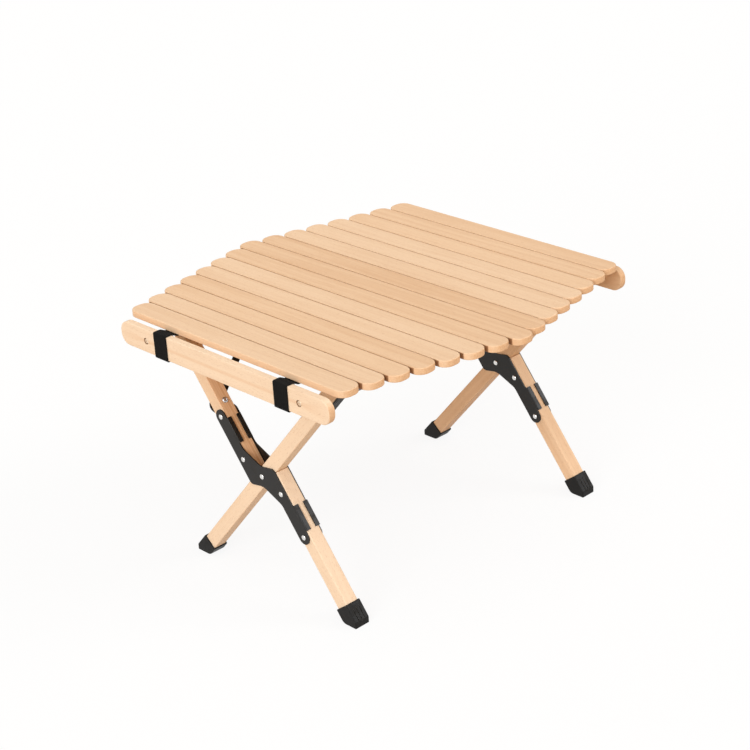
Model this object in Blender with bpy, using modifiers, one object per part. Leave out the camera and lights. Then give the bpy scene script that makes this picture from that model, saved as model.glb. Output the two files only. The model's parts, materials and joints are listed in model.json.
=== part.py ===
"""Roll-top folding camp table: a slatted top on two crossing-leg frames.

Metres, +Z up. The origin lies on the floor under the middle of the top. The slats run
along X and follow each other along Y. Each crossing-leg frame stands in a plane of
constant Y: a full leg leans to +X, and a split leg, in two halves joined by a pair of
steel plates, leans to -X and folds flat beside it about the pivot axis along Y.
"""

import math

import bmesh
import bpy
from mathutils import Matrix, Vector

# Clearances
REST_GAP = 0.0003  # between pieces that touch on the real table
BORE_GAP = 0.0003  # round a shaft in its hole

# Top
TOP_HEIGHT = 0.407
SLAT_COUNT = 15
SLAT_PITCH = 0.040
SLAT_GAP = 0.001
SLAT_THICKNESS = 0.011
SLAT_SHORTEST = 0.479
SLAT_STEP = 0.0206  # how much longer each slat is than its outer neighbour
SLAT_END_RADIUS = 0.0165
WOOD_EDGE = 0.0016  # rounding of every wooden edge

# Webbing
STRAP_THICKNESS = 0.0015
SIDE_STRAP_WIDTH = 0.030
STRAP_CLEARANCE = 0.004  # from the nearer side rail
LOOP_CORNER = 0.0012  # inner rounding of the loops at the end boards' edges

# End boards
BOARD_LENGTH = 0.466
BOARD_HEIGHT = 0.0385
BOARD_THICKNESS = 0.012
NEAR_BOARD_DROP = 0.0085  # from the slat tops to the board's upper edge
FAR_BOARD_DROP = 0.0155  # the far board hangs lower in its loops
BOARD_GAP = 0.0095  # from the outer slat to the board
BOARD_END_RADIUS = 0.0175
BOARD_SCREW_INSET = 0.062  # from the board's end
BOARD_SCREW_DROP = 0.0195  # from the board's upper edge

# Frames
FULL_LEAN = math.radians(41.2)  # full legs from the vertical
SPLIT_LEAN = math.radians(37.3)  # split legs' halves from the vertical
PIVOT_X = 0.017  # the frames stand a little to one side of the top's middle
PIVOT_HEIGHT = 0.1922
FRAME_SPACING = 0.5205
LEG_WIDTH = 0.024  # in the frame's plane
LEG_DEPTH = 0.023  # along Y
CROSSING_GAP = 0.0004  # between the legs when they are folded side by side

# Scissor plates, in leg coordinates
PLATE_THICKNESS = 0.002
RIVET_OUTER = 0.1100
RIVET_INNER = 0.0373
RIVET_OFFSET = 0.0231
PLATE_ARM_HALF = 0.0113
PLATE_SHOULDER = 0.0005
PLATE_WAIST = (0.0089, 0.0138)
PLATE_ARM_START = 0.0517
SHOULDER_RADIUS = 0.009
WAIST_RADIUS = 0.025
ARM_RADIUS = 0.018
LIP_START = 0.0615
LIP_LENGTH = 0.042
LIP_DEPTH = 0.0085
LIP_ROOT = 0.004  # how far a lip's root reaches into its arm

# Fasteners
RIVET_RADIUS = 0.0022
RIVET_HEAD_RADIUS = 0.0042
RIVET_HEAD_HEIGHT = 0.0015
BOLT_RADIUS = 0.0028
BOLT_HEAD_RADIUS = 0.0048
BOLT_HEAD_HEIGHT = 0.0022
SCREW_RADIUS = 0.0020
SCREW_HEAD_RADIUS = 0.0052
SCREW_HEAD_HEIGHT = 0.0022
ROUND_STEPS = 12

# Foot caps
CAP_WALL = 0.0019
CAP_LENGTH = 0.044  # along the leg's outer face
CAP_FLOOR = 0.0042
CAP_TIP = 0.0084  # blunting of the outer toe, along the floor
CAP_HEEL_RADIUS = 0.012
CAP_EDGE = 0.0012
GROOVE_COUNT = 3
GROOVE_PITCH = 0.0062
GROOVE_WIDTH = 0.0018
GROOVE_DEPTH = 0.0009
GROOVE_START = 0.008  # below the rim
GROOVE_LENGTH = 0.024

# Rails and braces
RAIL_DEPTH = 0.034
TENON_WIDTH = 0.012
TENON_DEPTH = 0.012
TENON_LENGTH = 0.014
TENON_DROP = 0.013  # from the rail's top to the tenon's
BRACE_THICKNESS = 0.0025
BRACE_WIDTH = 0.012
BRACE_END_RADIUS = 0.013
BRACE_DROP = 0.1444  # from a split leg's top to its brace's bolt, along the leg
BRACE_REACH = 0.166  # from the leg's bolt to the rail's, along the rail
CORNER_ARM_HALF = 0.0095
CORNER_LENGTH = 0.080  # down a full leg
CORNER_REACH = 0.070  # along the rail, from the leg's middle
CORNER_DEPTH = 0.022
CORNER_FILLET = 0.006
CORNER_TIP_RADIUS = 0.004
CORNER_BOLT_DROP = 0.068  # from a full leg's top to its bolt, along the leg

# Places that follow from the sizes above
UNDERSIDE = TOP_HEIGHT - SLAT_THICKNESS
DECK = UNDERSIDE - REST_GAP
HINGE_HEIGHT = DECK - STRAP_THICKNESS
TOP_END = (SLAT_COUNT * SLAT_PITCH - SLAT_GAP) / 2
FRAME_PLACE = FRAME_SPACING / 2
HALF_OFFSET = LEG_WIDTH + CROSSING_GAP
BOARD_TOPS = {"near": TOP_HEIGHT - NEAR_BOARD_DROP, "far": TOP_HEIGHT - FAR_BOARD_DROP}
BOARD_INNER = TOP_END + BOARD_GAP
LOOP_OUTSET = REST_GAP + STRAP_THICKNESS
PLATE_SEAT = LEG_DEPTH / 2 + REST_GAP
PLATE_FACE = PLATE_SEAT + PLATE_THICKNESS
FLANK_SEAT = LEG_WIDTH / 2 + REST_GAP
BRACE_FACE = FLANK_SEAT + BRACE_THICKNESS
CAP_HALF_WIDTH = LEG_WIDTH / 2 + REST_GAP + CAP_WALL
CAP_HALF_DEPTH = LEG_DEPTH / 2 + REST_GAP + CAP_WALL

# Leg sides: the lean of the leg, the place of its upper and lower bars across the
# pivot, the side of the foot that faces outwards, and how far its upper bolt lies below
# the leg's top
FULL = {
    "lean": FULL_LEAN,
    "upper": 0.0,
    "lower": 0.0,
    "outer": -1.0,
    "bolt": CORNER_BOLT_DROP,
}
SPLIT = {
    "lean": -SPLIT_LEAN,
    "upper": -HALF_OFFSET,
    "lower": HALF_OFFSET,
    "outer": 1.0,
    "bolt": BRACE_DROP,
}


WOOD = ((0.76, 0.52, 0.30, 1.0), 0.50, 0.0)
BLACK_STEEL = ((0.030, 0.028, 0.027, 1.0), 0.42, 0.7)
BRIGHT_STEEL = ((0.72, 0.72, 0.71, 1.0), 0.25, 1.0)
WEBBING = ((0.012, 0.012, 0.012, 1.0), 0.90, 0.0)
BLACK_PLASTIC = ((0.018, 0.018, 0.018, 1.0), 0.48, 0.0)


def clear_scene():
    """Remove what the scene holds and return the parts' and the cutters' collections."""
    for item in list(bpy.data.objects):
        bpy.data.objects.remove(item, do_unlink=True)
    made = []
    for name in ("camp_table", "camp_table_cutters"):
        old = bpy.data.collections.get(name)
        if old:
            bpy.data.collections.remove(old)
        made.append(bpy.data.collections.new(name))
        bpy.context.scene.collection.children.link(made[-1])
    return made


PARTS, CUTTERS = clear_scene()


def axis_empty(name, place, parent=None, lean=0.0):
    """Make an empty whose local Y lies on an axis of the table."""
    empty = bpy.data.objects.new(name, None)
    empty.location = place
    empty.rotation_euler = (0.0, lean, 0.0)
    empty.empty_display_size = 0.03
    empty.parent = parent
    PARTS.objects.link(empty)
    return empty


def place_part(name, mesh, look, parent=None, place=(0.0, 0.0, 0.0)):
    """Put a mesh in the parts' collection under its own name and material."""
    mesh.name = name
    part = bpy.data.objects.new(name, mesh)
    part.parent = parent
    part.location = place
    PARTS.objects.link(part)
    colour, roughness, metallic = look
    material = bpy.data.materials.new(name)
    material.use_nodes = True
    surface = material.node_tree.nodes["Principled BSDF"]
    surface.inputs["Base Color"].default_value = colour
    surface.inputs["Roughness"].default_value = roughness
    surface.inputs["Metallic"].default_value = metallic
    mesh.materials.clear()
    mesh.materials.append(material)
    return part


def place_cutter(name, mesh, part):
    """Put a mesh beside a part as a hidden shape for its Boolean modifiers."""
    cutter = bpy.data.objects.new(name, mesh)
    cutter.parent = part.parent
    cutter.location = part.location
    cutter.hide_render = True
    cutter.display_type = "WIRE"
    CUTTERS.objects.link(cutter)
    return cutter


def boolean(part, name, mesh, operation="DIFFERENCE"):
    """Cut a part by a mesh in the part's own coordinates, or join the mesh to it."""
    modifier = part.modifiers.new(name, "BOOLEAN")
    modifier.operation = operation
    modifier.solver = "EXACT"
    modifier.object = place_cutter(part.name + "_" + name, mesh, part)


def round_edges(part, width, segments=2):
    """Round every sharp edge of a part."""
    modifier = part.modifiers.new("edges", "BEVEL")
    modifier.width = width
    modifier.segments = segments
    modifier.limit_method = "ANGLE"
    modifier.angle_limit = math.radians(30)


def mesh_from(bm):
    """Turn a bmesh into a mesh with its faces pointing out."""
    bmesh.ops.recalc_face_normals(bm, faces=bm.faces)
    mesh = bpy.data.meshes.new("shape")
    bm.to_mesh(mesh)
    bm.free()
    return mesh


def evaluated_mesh(source):
    """Return a scratch object's evaluated shape as a mesh and remove the object."""
    bpy.context.scene.collection.objects.link(source)
    graph = bpy.context.evaluated_depsgraph_get()
    mesh = bpy.data.meshes.new_from_object(source.evaluated_get(graph))
    data = source.data
    bpy.data.objects.remove(source, do_unlink=True)
    if isinstance(data, bpy.types.Curve):
        bpy.data.curves.remove(data)
    else:
        bpy.data.meshes.remove(data)
    return mesh


def box(low, high, round_along=None, radius=0.0, segments=5):
    """Make a box between two corners, with the edges along one axis rounded."""
    low, high = Vector(low), Vector(high)
    bm = bmesh.new()
    size = high - low
    middle = (high + low) / 2
    matrix = Matrix.Translation(middle) @ Matrix.Diagonal((*size, 1.0))
    bmesh.ops.create_cube(bm, size=1.0, matrix=matrix)
    if round_along is not None:
        index = "XYZ".index(round_along)
        edges = [
            edge
            for edge in bm.edges
            if abs((edge.verts[0].co - edge.verts[1].co)[index]) > size[index] / 2
        ]
        bmesh.ops.bevel(
            bm, geom=edges, offset=radius, segments=segments, profile=0.5, affect="EDGES"
        )
    return mesh_from(bm)


def gathered(meshes):
    """Put several meshes into one, as separate closed bodies."""
    bm = bmesh.new()
    for mesh in meshes:
        bm.from_mesh(mesh)
        bpy.data.meshes.remove(mesh)
    return mesh_from(bm)


def filleted(corners, segments=5):
    """Return an outline whose corners, each (a, b, radius), are rounded."""
    points = []
    count = len(corners)
    for index, (a, b, radius) in enumerate(corners):
        here = Vector((a, b))
        if radius <= 0.0:
            points.append((a, b))
            continue
        before = (Vector(corners[index - 1][:2]) - here).normalized()
        after = (Vector(corners[(index + 1) % count][:2]) - here).normalized()
        half = before.angle(after) / 2
        reach = radius / math.tan(half)
        centre = here + (before + after).normalized() * (radius / math.sin(half))
        start = here + before * reach - centre
        turn = math.pi - 2 * half
        if before.x * after.y - before.y * after.x > 0:
            turn = -turn
        for step in range(segments + 1):
            spoke = start.copy()
            spoke.rotate(Matrix.Rotation(turn * step / segments, 2))
            points.append(tuple(centre + spoke))
    return points


def sheet(outlines, low, high, normal):
    """Make a flat piece from an outline and its holes, between two heights.

    The outlines are in (x, z) for a normal along Y, in (y, z) for X, in (x, y) for Z.
    """
    curve = bpy.data.curves.new("outline", "CURVE")
    curve.dimensions = "2D"
    curve.fill_mode = "BOTH"
    curve.extrude = (high - low) / 2
    for outline in outlines:
        spline = curve.splines.new("POLY")
        spline.points.add(len(outline) - 1)
        for point, (a, b) in zip(spline.points, outline):
            point.co = (a, b, 0.0, 1.0)
        spline.use_cyclic_u = True
    mesh = evaluated_mesh(bpy.data.objects.new("outline", curve))
    middle = (high + low) / 2
    rows = {
        "X": ((0, 0, 1, middle), (1, 0, 0, 0), (0, 1, 0, 0), (0, 0, 0, 1)),
        "Y": ((1, 0, 0, 0), (0, 0, 1, middle), (0, 1, 0, 0), (0, 0, 0, 1)),
        "Z": ((1, 0, 0, 0), (0, 1, 0, 0), (0, 0, 1, middle), (0, 0, 0, 1)),
    }
    mesh.transform(Matrix(rows[normal]))
    bm = bmesh.new()
    bm.from_mesh(mesh)
    bpy.data.meshes.remove(mesh)
    bmesh.ops.remove_doubles(bm, verts=bm.verts, dist=0.000001)
    return mesh_from(bm)


def stud(low, high, radius, head_radius, head_height, axis, place, grow=0.0):
    """Turn a shaft with a head at each end, seated at low and high along an axis.

    grow widens the whole stud, for the hole that it sits in.
    """
    chamfer = head_height * 0.35
    head = head_radius + grow
    top, bottom = high + head_height + grow, low - head_height - grow
    profile = [
        (0.0, top),
        (head - chamfer, top),
        (head, top - chamfer),
        (head, high - grow),
        (radius + grow, high - grow),
        (radius + grow, low + grow),
        (head, low + grow),
        (head, bottom + chamfer),
        (head - chamfer, bottom),
        (0.0, bottom),
    ]
    mesh = bpy.data.meshes.new("profile")
    edges = [(index, index + 1) for index in range(len(profile) - 1)]
    mesh.from_pydata([(r, 0.0, z) for r, z in profile], edges, [])
    source = bpy.data.objects.new("profile", mesh)
    screw = source.modifiers.new("turn", "SCREW")
    screw.steps = screw.render_steps = ROUND_STEPS
    screw.use_merge_vertices = True
    screw.merge_threshold = 0.00001
    turned = evaluated_mesh(source)
    turned.transform(axis_turn(axis))
    turned.transform(Matrix.Translation(place))
    return turned


def axis_turn(axis):
    """Return the rotation that brings local Z onto an axis."""
    if axis == "X":
        return Matrix.Rotation(math.radians(90), 4, "Y")
    if axis == "Y":
        return Matrix.Rotation(math.radians(-90), 4, "X")
    return Matrix.Identity(4)


def bore(radius, half_length, axis, place):
    """Make a round cutter for a through hole."""
    bm = bmesh.new()
    bmesh.ops.create_cone(
        bm,
        cap_ends=True,
        segments=ROUND_STEPS,
        radius1=radius + BORE_GAP,
        radius2=radius + BORE_GAP,
        depth=2 * half_length,
        matrix=Matrix.Translation(place) @ axis_turn(axis),
    )
    return mesh_from(bm)


def level(side, across, height):
    """Return how far along a leg a level plane lies, at a place across the leg."""
    lean = side["lean"]
    return (height - PIVOT_HEIGHT + across * math.sin(lean)) / math.cos(lean)


def bar_top(side):
    """Return how far along its leg the middle of a leg's top lies."""
    return level(side, side["upper"], DECK)


def top_place(side):
    """Return where along X the middle of a leg's top lies."""
    lean = side["lean"]
    return PIVOT_X + side["upper"] * math.cos(lean) + bar_top(side) * math.sin(lean)


def side_strap_place():
    """Return the side straps' place, just inside the nearer side rail."""
    near_side = min((FULL, SPLIT), key=lambda side: abs(top_place(side)))
    flank = abs(top_place(near_side)) - LEG_WIDTH / 2 / math.cos(near_side["lean"])
    return flank - STRAP_CLEARANCE - SIDE_STRAP_WIDTH / 2


def slat_length(number):
    """Return a slat's length, counted from 1 at the near end."""
    from_end = min(number - 1, SLAT_COUNT - number)
    return SLAT_SHORTEST + SLAT_STEP * from_end


def make_slat(number, carrier, middle):
    """Make a slat at its place along Y in its carrier."""
    half = slat_length(number) / 2
    width = (SLAT_PITCH - SLAT_GAP) / 2
    low = UNDERSIDE - HINGE_HEIGHT
    shape = box(
        (-half, middle - width, low),
        (half, middle + width, low + SLAT_THICKNESS),
        "Z",
        SLAT_END_RADIUS,
    )
    slat = place_part("slat_%02d" % number, shape, WOOD, carrier)
    round_edges(slat, WOOD_EDGE)


def make_board(end, sign, hinge):
    """Make an end board and its two screws; sign is the board's side along Y."""
    base = board_hinge_place()
    faces = (sign * (BOARD_INNER - base), sign * (BOARD_INNER + BOARD_THICKNESS - base))
    low, high = sorted(faces)
    top = BOARD_TOPS[end] - HINGE_HEIGHT - board_hinge_rise()
    half = BOARD_LENGTH / 2
    shape = box(
        (-half, low, top - BOARD_HEIGHT), (half, high, top), "Y", BOARD_END_RADIUS
    )
    board = place_part("end_board_" + end, shape, WOOD, hinge)
    round_edges(board, WOOD_EDGE)
    seats = (low + SCREW_HEAD_HEIGHT + REST_GAP, high - SCREW_HEAD_HEIGHT - REST_GAP)
    sizes = (SCREW_RADIUS, SCREW_HEAD_RADIUS, SCREW_HEAD_HEIGHT, "Y")
    cuts = []
    for name, side in (("left", -1.0), ("right", 1.0)):
        place = (side * (half - BOARD_SCREW_INSET), 0.0, top - BOARD_SCREW_DROP)
        screw = stud(*seats, *sizes, place)
        place_part("end_board_screw_%s_%s" % (end, name), screw, BRIGHT_STEEL, hinge)
        cuts.append(stud(*seats, *sizes, place, grow=BORE_GAP))
    boolean(board, "screw_holes", gathered(cuts))


def strap_end(top):
    """Return a strap's outline past the outer slat, in (y, z), for a board's upper edge."""
    inner = BOARD_INNER - LOOP_OUTSET
    start = TOP_END + REST_GAP
    outer = BOARD_INNER + BOARD_THICKNESS + LOOP_OUTSET
    high, low = top + LOOP_OUTSET, top - BOARD_HEIGHT - LOOP_OUTSET
    corner = LOOP_CORNER + STRAP_THICKNESS
    join = HINGE_HEIGHT + (high - DECK) * (inner - start) / (BOARD_INNER - start)
    return [
        (start, DECK, 0.0),
        (BOARD_INNER, high, 0.0),
        (outer, high, corner),
        (outer, low, corner),
        (inner, low, corner),
        (inner, join, 0.0),
        (start, HINGE_HEIGHT, 0.0),
    ]


def strap_outlines():
    """Return a strap's outline in (y, z), with the boards' spaces as holes."""
    near_end = strap_end(BOARD_TOPS["near"])
    mirrored = [(-y, z, radius) for y, z, radius in reversed(near_end)]
    outlines = [filleted(strap_end(BOARD_TOPS["far"]) + mirrored, 3)]
    inner, outer = BOARD_INNER - REST_GAP, BOARD_INNER + BOARD_THICKNESS + REST_GAP
    for end, sign in (("near", -1.0), ("far", 1.0)):
        high, low = BOARD_TOPS[end] + REST_GAP, BOARD_TOPS[end] - BOARD_HEIGHT - REST_GAP
        hole = [
            (sign * inner, low, LOOP_CORNER),
            (sign * outer, low, LOOP_CORNER),
            (sign * outer, high, LOOP_CORNER),
            (sign * inner, high, LOOP_CORNER),
        ]
        outlines.append(filleted(hole, 3))
    return outlines


def make_straps(lift):
    """Make the two webbing straps under the slats, each in one piece."""
    half = SIDE_STRAP_WIDTH / 2
    for name, sign in (("left", -1.0), ("right", 1.0)):
        x = sign * side_strap_place()
        shape = sheet(strap_outlines(), x - half, x + half, "X")
        shape.transform(Matrix.Translation((0.0, 0.0, -HINGE_HEIGHT)))
        place_part("strap_" + name, shape, WEBBING, lift)


def board_hinge_place():
    """Return how far out the end boards' hinge lines lie."""
    return BOARD_INNER - REST_GAP - STRAP_THICKNESS / 4


def board_hinge_rise():
    """Return how far an end board's hinge line lies above the slats' hinge lines."""
    return UNDERSIDE - HINGE_HEIGHT


def make_top():
    """Make the slats and end boards on two chains of hinge lines."""
    middle_slat = (SLAT_COUNT + 1) // 2
    lift = axis_empty("top_lift", (0.0, 0.0, HINGE_HEIGHT))
    make_slat(middle_slat, lift, 0.0)
    make_straps(lift)
    for sign, end, last in ((-1.0, "near", 1), (1.0, "far", SLAT_COUNT)):
        carrier, step = lift, SLAT_PITCH / 2
        direction = int(sign)
        for number in range(middle_slat + direction, last + direction, direction):
            carrier = axis_empty("slat_hinge_%02d" % number, (0.0, sign * step, 0.0), carrier)
            make_slat(number, carrier, sign * SLAT_PITCH / 2)
            step = SLAT_PITCH
        chain_end = (TOP_END + SLAT_GAP / 2) - SLAT_PITCH
        reach = sign * (board_hinge_place() - chain_end)
        hinge = axis_empty("board_hinge_" + end, (0.0, reach, board_hinge_rise()), carrier)
        make_board(end, sign, hinge)


def make_legs(axes):
    """Make the two full legs and the four halves of the split legs."""
    half = LEG_WIDTH / 2
    foot = {}
    for key, side in (("full", FULL), ("split", SPLIT)):
        inner = side["lower"] - side["outer"] * half
        foot[key] = level(side, inner, CAP_FLOOR + REST_GAP)
    full_outline = [
        (-half, foot["full"]),
        (half, foot["full"]),
        (half, level(FULL, half, DECK)),
        (-half, level(FULL, -half, DECK)),
    ]
    low, high = -HALF_OFFSET - half, -HALF_OFFSET + half
    upper_outline = [
        (low, crossing_edge(low)),
        (high, crossing_edge(high)),
        (high, level(SPLIT, high, DECK)),
        (low, level(SPLIT, low, DECK)),
    ]
    lower_outline = [
        (-low, -crossing_edge(low)),
        (-high, -crossing_edge(high)),
        (-high, foot["split"]),
        (-low, foot["split"]),
    ]
    depth = LEG_DEPTH / 2
    rivets = rivet_places()
    for end, sign in (("near", -1.0), ("far", 1.0)):
        place = (0.0, sign * FRAME_PLACE, 0.0)
        full = place_part(
            "leg_full_" + end, sheet([full_outline], -depth, depth, "Y"), WOOD, axes["full"], place
        )
        round_edges(full, WOOD_EDGE)
        holes = [bore(RIVET_RADIUS, LEG_DEPTH, "Y", (0.0, 0.0, 0.0))]
        boolean(full, "holes", gathered(holes + top_joint_cuts(FULL, -sign)))
        for half_name, outline, chosen in (
            ("upper", upper_outline, rivets[:2]),
            ("lower", lower_outline, rivets[2:]),
        ):
            part = place_part(
                "leg_split_%s_%s" % (half_name, end),
                sheet([outline], -depth, depth, "Y"),
                WOOD,
                axes["split"],
                place,
            )
            round_edges(part, WOOD_EDGE)
            holes = [bore(RIVET_RADIUS, LEG_DEPTH, "Y", spot) for spot in chosen]
            if half_name == "upper":
                holes += top_joint_cuts(SPLIT, -sign)
            boolean(part, "holes", gathered(holes))


def crossing_edge(across):
    """Return where the split leg's upper half ends, beside the full leg's flank."""
    turn = FULL_LEAN + SPLIT_LEAN
    stop = LEG_WIDTH / 2 + REST_GAP
    return (stop + across * math.cos(turn)) / math.sin(turn)


def rivet_places():
    """Return the four rivets' places in a frame, upper half first."""
    return [
        (-RIVET_OFFSET, 0.0, RIVET_OUTER),
        (-RIVET_OFFSET, 0.0, RIVET_INNER),
        (RIVET_OFFSET, 0.0, -RIVET_INNER),
        (RIVET_OFFSET, 0.0, -RIVET_OUTER),
    ]


def tenon_box(side, low, high, slack=0.0):
    """Make a rail's tenon, or with slack its mortise, between two places along Y."""
    top = bar_top(side) - TENON_DROP
    wide = TENON_WIDTH / 2 + slack
    return box(
        (side["upper"] - wide, low, top - TENON_DEPTH - slack),
        (side["upper"] + wide, high, top + slack),
    )


def top_joint_cuts(side, inwards):
    """Make a leg's cutters for its rail's tenon and its upper bolt."""
    reach = TENON_LENGTH - LEG_DEPTH / 2 + 2 * REST_GAP
    ends = sorted((-inwards * reach, inwards * LEG_DEPTH))
    spot = (side["upper"], 0.0, bar_top(side) - side["bolt"])
    return [tenon_box(side, *ends, slack=REST_GAP), bore(BOLT_RADIUS, LEG_WIDTH, "X", spot)]


def plate_outline():
    """Return a scissor plate's outline: two offset arms round a bent middle."""
    left = -RIVET_OFFSET - PLATE_ARM_HALF
    right = -RIVET_OFFSET + PLATE_ARM_HALF
    top = RIVET_OUTER + PLATE_ARM_HALF
    end = PLATE_ARM_HALF * 0.98
    waist, dip = PLATE_WAIST
    half = [
        (right, top, end),
        (left, top, end),
        (left, -PLATE_SHOULDER, SHOULDER_RADIUS),
        (-waist, -dip, WAIST_RADIUS),
        (-right, -PLATE_ARM_START, ARM_RADIUS),
    ]
    return filleted(half + [(-a, -b, radius) for a, b, radius in half])


def lip_outlines(sign):
    """Return the lips' L-shaped sections, in (x, y), for a plate on one side."""
    face, seat = sign * (PLATE_FACE - REST_GAP / 3), sign * (PLATE_SEAT + REST_GAP / 3)
    tip = sign * (PLATE_FACE - LIP_DEPTH)
    sections = []
    for middle in (-HALF_OFFSET, HALF_OFFSET):
        wall = middle + LEG_WIDTH / 2 + REST_GAP
        outer = wall + PLATE_THICKNESS
        arm = math.copysign(RIVET_OFFSET, middle) + PLATE_ARM_HALF
        root = min(arm, wall) - LIP_ROOT
        sections.append(
            [(root, face), (outer, face), (outer, tip), (wall, tip), (wall, seat), (root, seat)]
        )
    return sections


def make_plates(axes):
    """Make the four scissor plates, each with its two folded lips."""
    lip_spans = (
        (LIP_START, LIP_START + LIP_LENGTH),
        (-LIP_START - LIP_LENGTH, -LIP_START),
    )
    holes = [(0.0, 0.0, 0.0)] + rivet_places()
    for end, frame_sign in (("near", -1.0), ("far", 1.0)):
        place = (0.0, frame_sign * FRAME_PLACE, 0.0)
        for face_name, sign in (("front", -1.0), ("back", 1.0)):
            low, high = sorted((sign * PLATE_SEAT, sign * PLATE_FACE))
            plate = place_part(
                "scissor_plate_%s_%s" % (end, face_name),
                sheet([plate_outline()], low, high, "Y"),
                BLACK_STEEL,
                axes["split"],
                place,
            )
            lips = [
                sheet([section], *span, "Z")
                for section, span in zip(lip_outlines(sign), lip_spans)
            ]
            boolean(plate, "lips", gathered(lips), "UNION")
            cuts = [
                bore(RIVET_RADIUS, PLATE_THICKNESS, "Y", (x, (low + high) / 2, z))
                for x, _, z in holes
            ]
            boolean(plate, "holes", gathered(cuts))


def make_rivets(axes):
    """Make the four rivets and the pivot pin of each frame."""
    seat = PLATE_FACE + REST_GAP
    sizes = (RIVET_RADIUS, RIVET_HEAD_RADIUS, RIVET_HEAD_HEIGHT, "Y")
    for end, sign in (("near", -1.0), ("far", 1.0)):
        place = (0.0, sign * FRAME_PLACE, 0.0)
        for number, spot in enumerate(rivet_places(), 1):
            name = "scissor_rivet_%s_%d" % (end, number)
            shape = stud(-seat, seat, *sizes, spot)
            place_part(name, shape, BRIGHT_STEEL, axes["split"], place)
        shape = stud(-seat, seat, *sizes, (0.0, 0.0, 0.0))
        place_part("pivot_pin_" + end, shape, BRIGHT_STEEL, axes["split"], place)


def cap_outline(side):
    """Return a foot cap's outline: square to the leg at its rim, level on the floor."""
    outer, middle, lean = side["outer"], side["lower"], side["lean"]
    outside = middle + outer * CAP_HALF_WIDTH
    inside = middle - outer * CAP_HALF_WIDTH
    toe = Vector((outside, level(side, outside, 0.0)))
    rim = toe.y + CAP_LENGTH
    along_floor = Vector((math.cos(lean), math.sin(lean)))
    upward = Vector((-math.sin(lean), math.cos(lean)))
    blunt = toe - outer * CAP_TIP * along_floor
    nose = blunt + upward * (CAP_TIP / math.tan(abs(lean)))
    heel = (inside, level(side, inside, 0.0), CAP_HEEL_RADIUS)
    tip = [(*blunt, 0.0), (*nose, 0.0)]
    return filleted([(inside, rim, 0.0), heel, *tip, (outside, rim, 0.0)], 4)


def make_caps(axes):
    """Make the four foot caps, each with its socket and its outer grooves."""
    for key, side in (("full", FULL), ("split", SPLIT)):
        outer, middle = side["outer"], side["lower"]
        inside = middle - outer * LEG_WIDTH / 2
        leg_end = level(side, inside, CAP_FLOOR + REST_GAP)
        outline = cap_outline(side)
        rim = outline[0][1]
        outside = middle + outer * CAP_HALF_WIDTH
        width, depth = LEG_WIDTH / 2 + REST_GAP, LEG_DEPTH / 2 + REST_GAP
        for end, sign in (("near", -1.0), ("far", 1.0)):
            cap = place_part(
                "foot_cap_%s_%s" % (key, end),
                sheet([outline], -CAP_HALF_DEPTH, CAP_HALF_DEPTH, "Y"),
                BLACK_PLASTIC,
                axes[key],
                (0.0, sign * FRAME_PLACE, 0.0),
            )
            round_edges(cap, CAP_EDGE)
            socket = box(
                (middle - width, -depth, leg_end - REST_GAP),
                (middle + width, depth, rim + CAP_LENGTH),
            )
            boolean(cap, "socket", socket)
            grooves = []
            for index in range(GROOVE_COUNT):
                y = (index - (GROOVE_COUNT - 1) / 2) * GROOVE_PITCH
                faces = sorted((outside - outer * GROOVE_DEPTH, outside + outer * CAP_WALL))
                grooves.append(
                    box(
                        (faces[0], y - GROOVE_WIDTH / 2, rim - GROOVE_START - GROOVE_LENGTH),
                        (faces[1], y + GROOVE_WIDTH / 2, rim - GROOVE_START),
                    )
                )
            boolean(cap, "grooves", gathered(grooves))


def make_rails(axes):
    """Make the side rails, level under the slats, with a tenon in each leg."""
    reach = FRAME_PLACE - LEG_DEPTH / 2 - REST_GAP
    for key, side in (("full", FULL), ("split", SPLIT)):
        low = side["upper"] - LEG_WIDTH / 2
        high = side["upper"] + LEG_WIDTH / 2
        bottom = bar_top(side) - RAIL_DEPTH
        outline = [
            (low, bottom),
            (high, bottom),
            (high, level(side, high, DECK)),
            (low, level(side, low, DECK)),
        ]
        rail = place_part(
            "side_rail_" + key, sheet([outline], -reach, reach, "Y"), WOOD, axes[key]
        )
        round_edges(rail, WOOD_EDGE)
        tenons = []
        for sign in (-1.0, 1.0):
            tip = FRAME_PLACE - LEG_DEPTH / 2 + TENON_LENGTH
            ends = sorted((sign * (reach - TENON_LENGTH), sign * tip))
            tenons.append(tenon_box(side, *ends))
        boolean(rail, "tenons", gathered(tenons), "UNION")
        if key == "split":
            spots = [(side["upper"], *rail_bolt(sign)) for sign in (-1.0, 1.0)]
            holes = [bore(BOLT_RADIUS, LEG_WIDTH, "X", spot) for spot in spots]
            boolean(rail, "bolt_holes", gathered(holes))


def leg_bolt(side, sign):
    """Return where a leg's upper bolt lies, as (y, z) along the table and the leg."""
    return (sign * FRAME_PLACE, bar_top(side) - side["bolt"])


def rail_bolt(sign):
    """Return where a brace is bolted to the split legs' rail, as (y, z)."""
    return (sign * (FRAME_PLACE - BRACE_REACH), bar_top(SPLIT) - RAIL_DEPTH / 2)


def brace_outline(sign):
    """Return a brace's outline in (y, z): a bar between round lugs about its bolts."""
    ends = (Vector(leg_bolt(SPLIT, sign)), Vector(rail_bolt(sign)))
    bar = ends[1] - ends[0]
    opening = math.asin(BRACE_WIDTH / 2 / BRACE_END_RADIUS)
    sweep = 2 * (math.pi - opening)
    points = []
    for bolt, heading in zip(ends, (bar, -bar)):
        slope = math.atan2(heading.y, heading.x)
        for step in range(ROUND_STEPS + 1):
            angle = slope + opening + sweep * step / ROUND_STEPS
            spoke = Vector((math.cos(angle), math.sin(angle))) * BRACE_END_RADIUS
            points.append(tuple(bolt + spoke))
    return points


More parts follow.
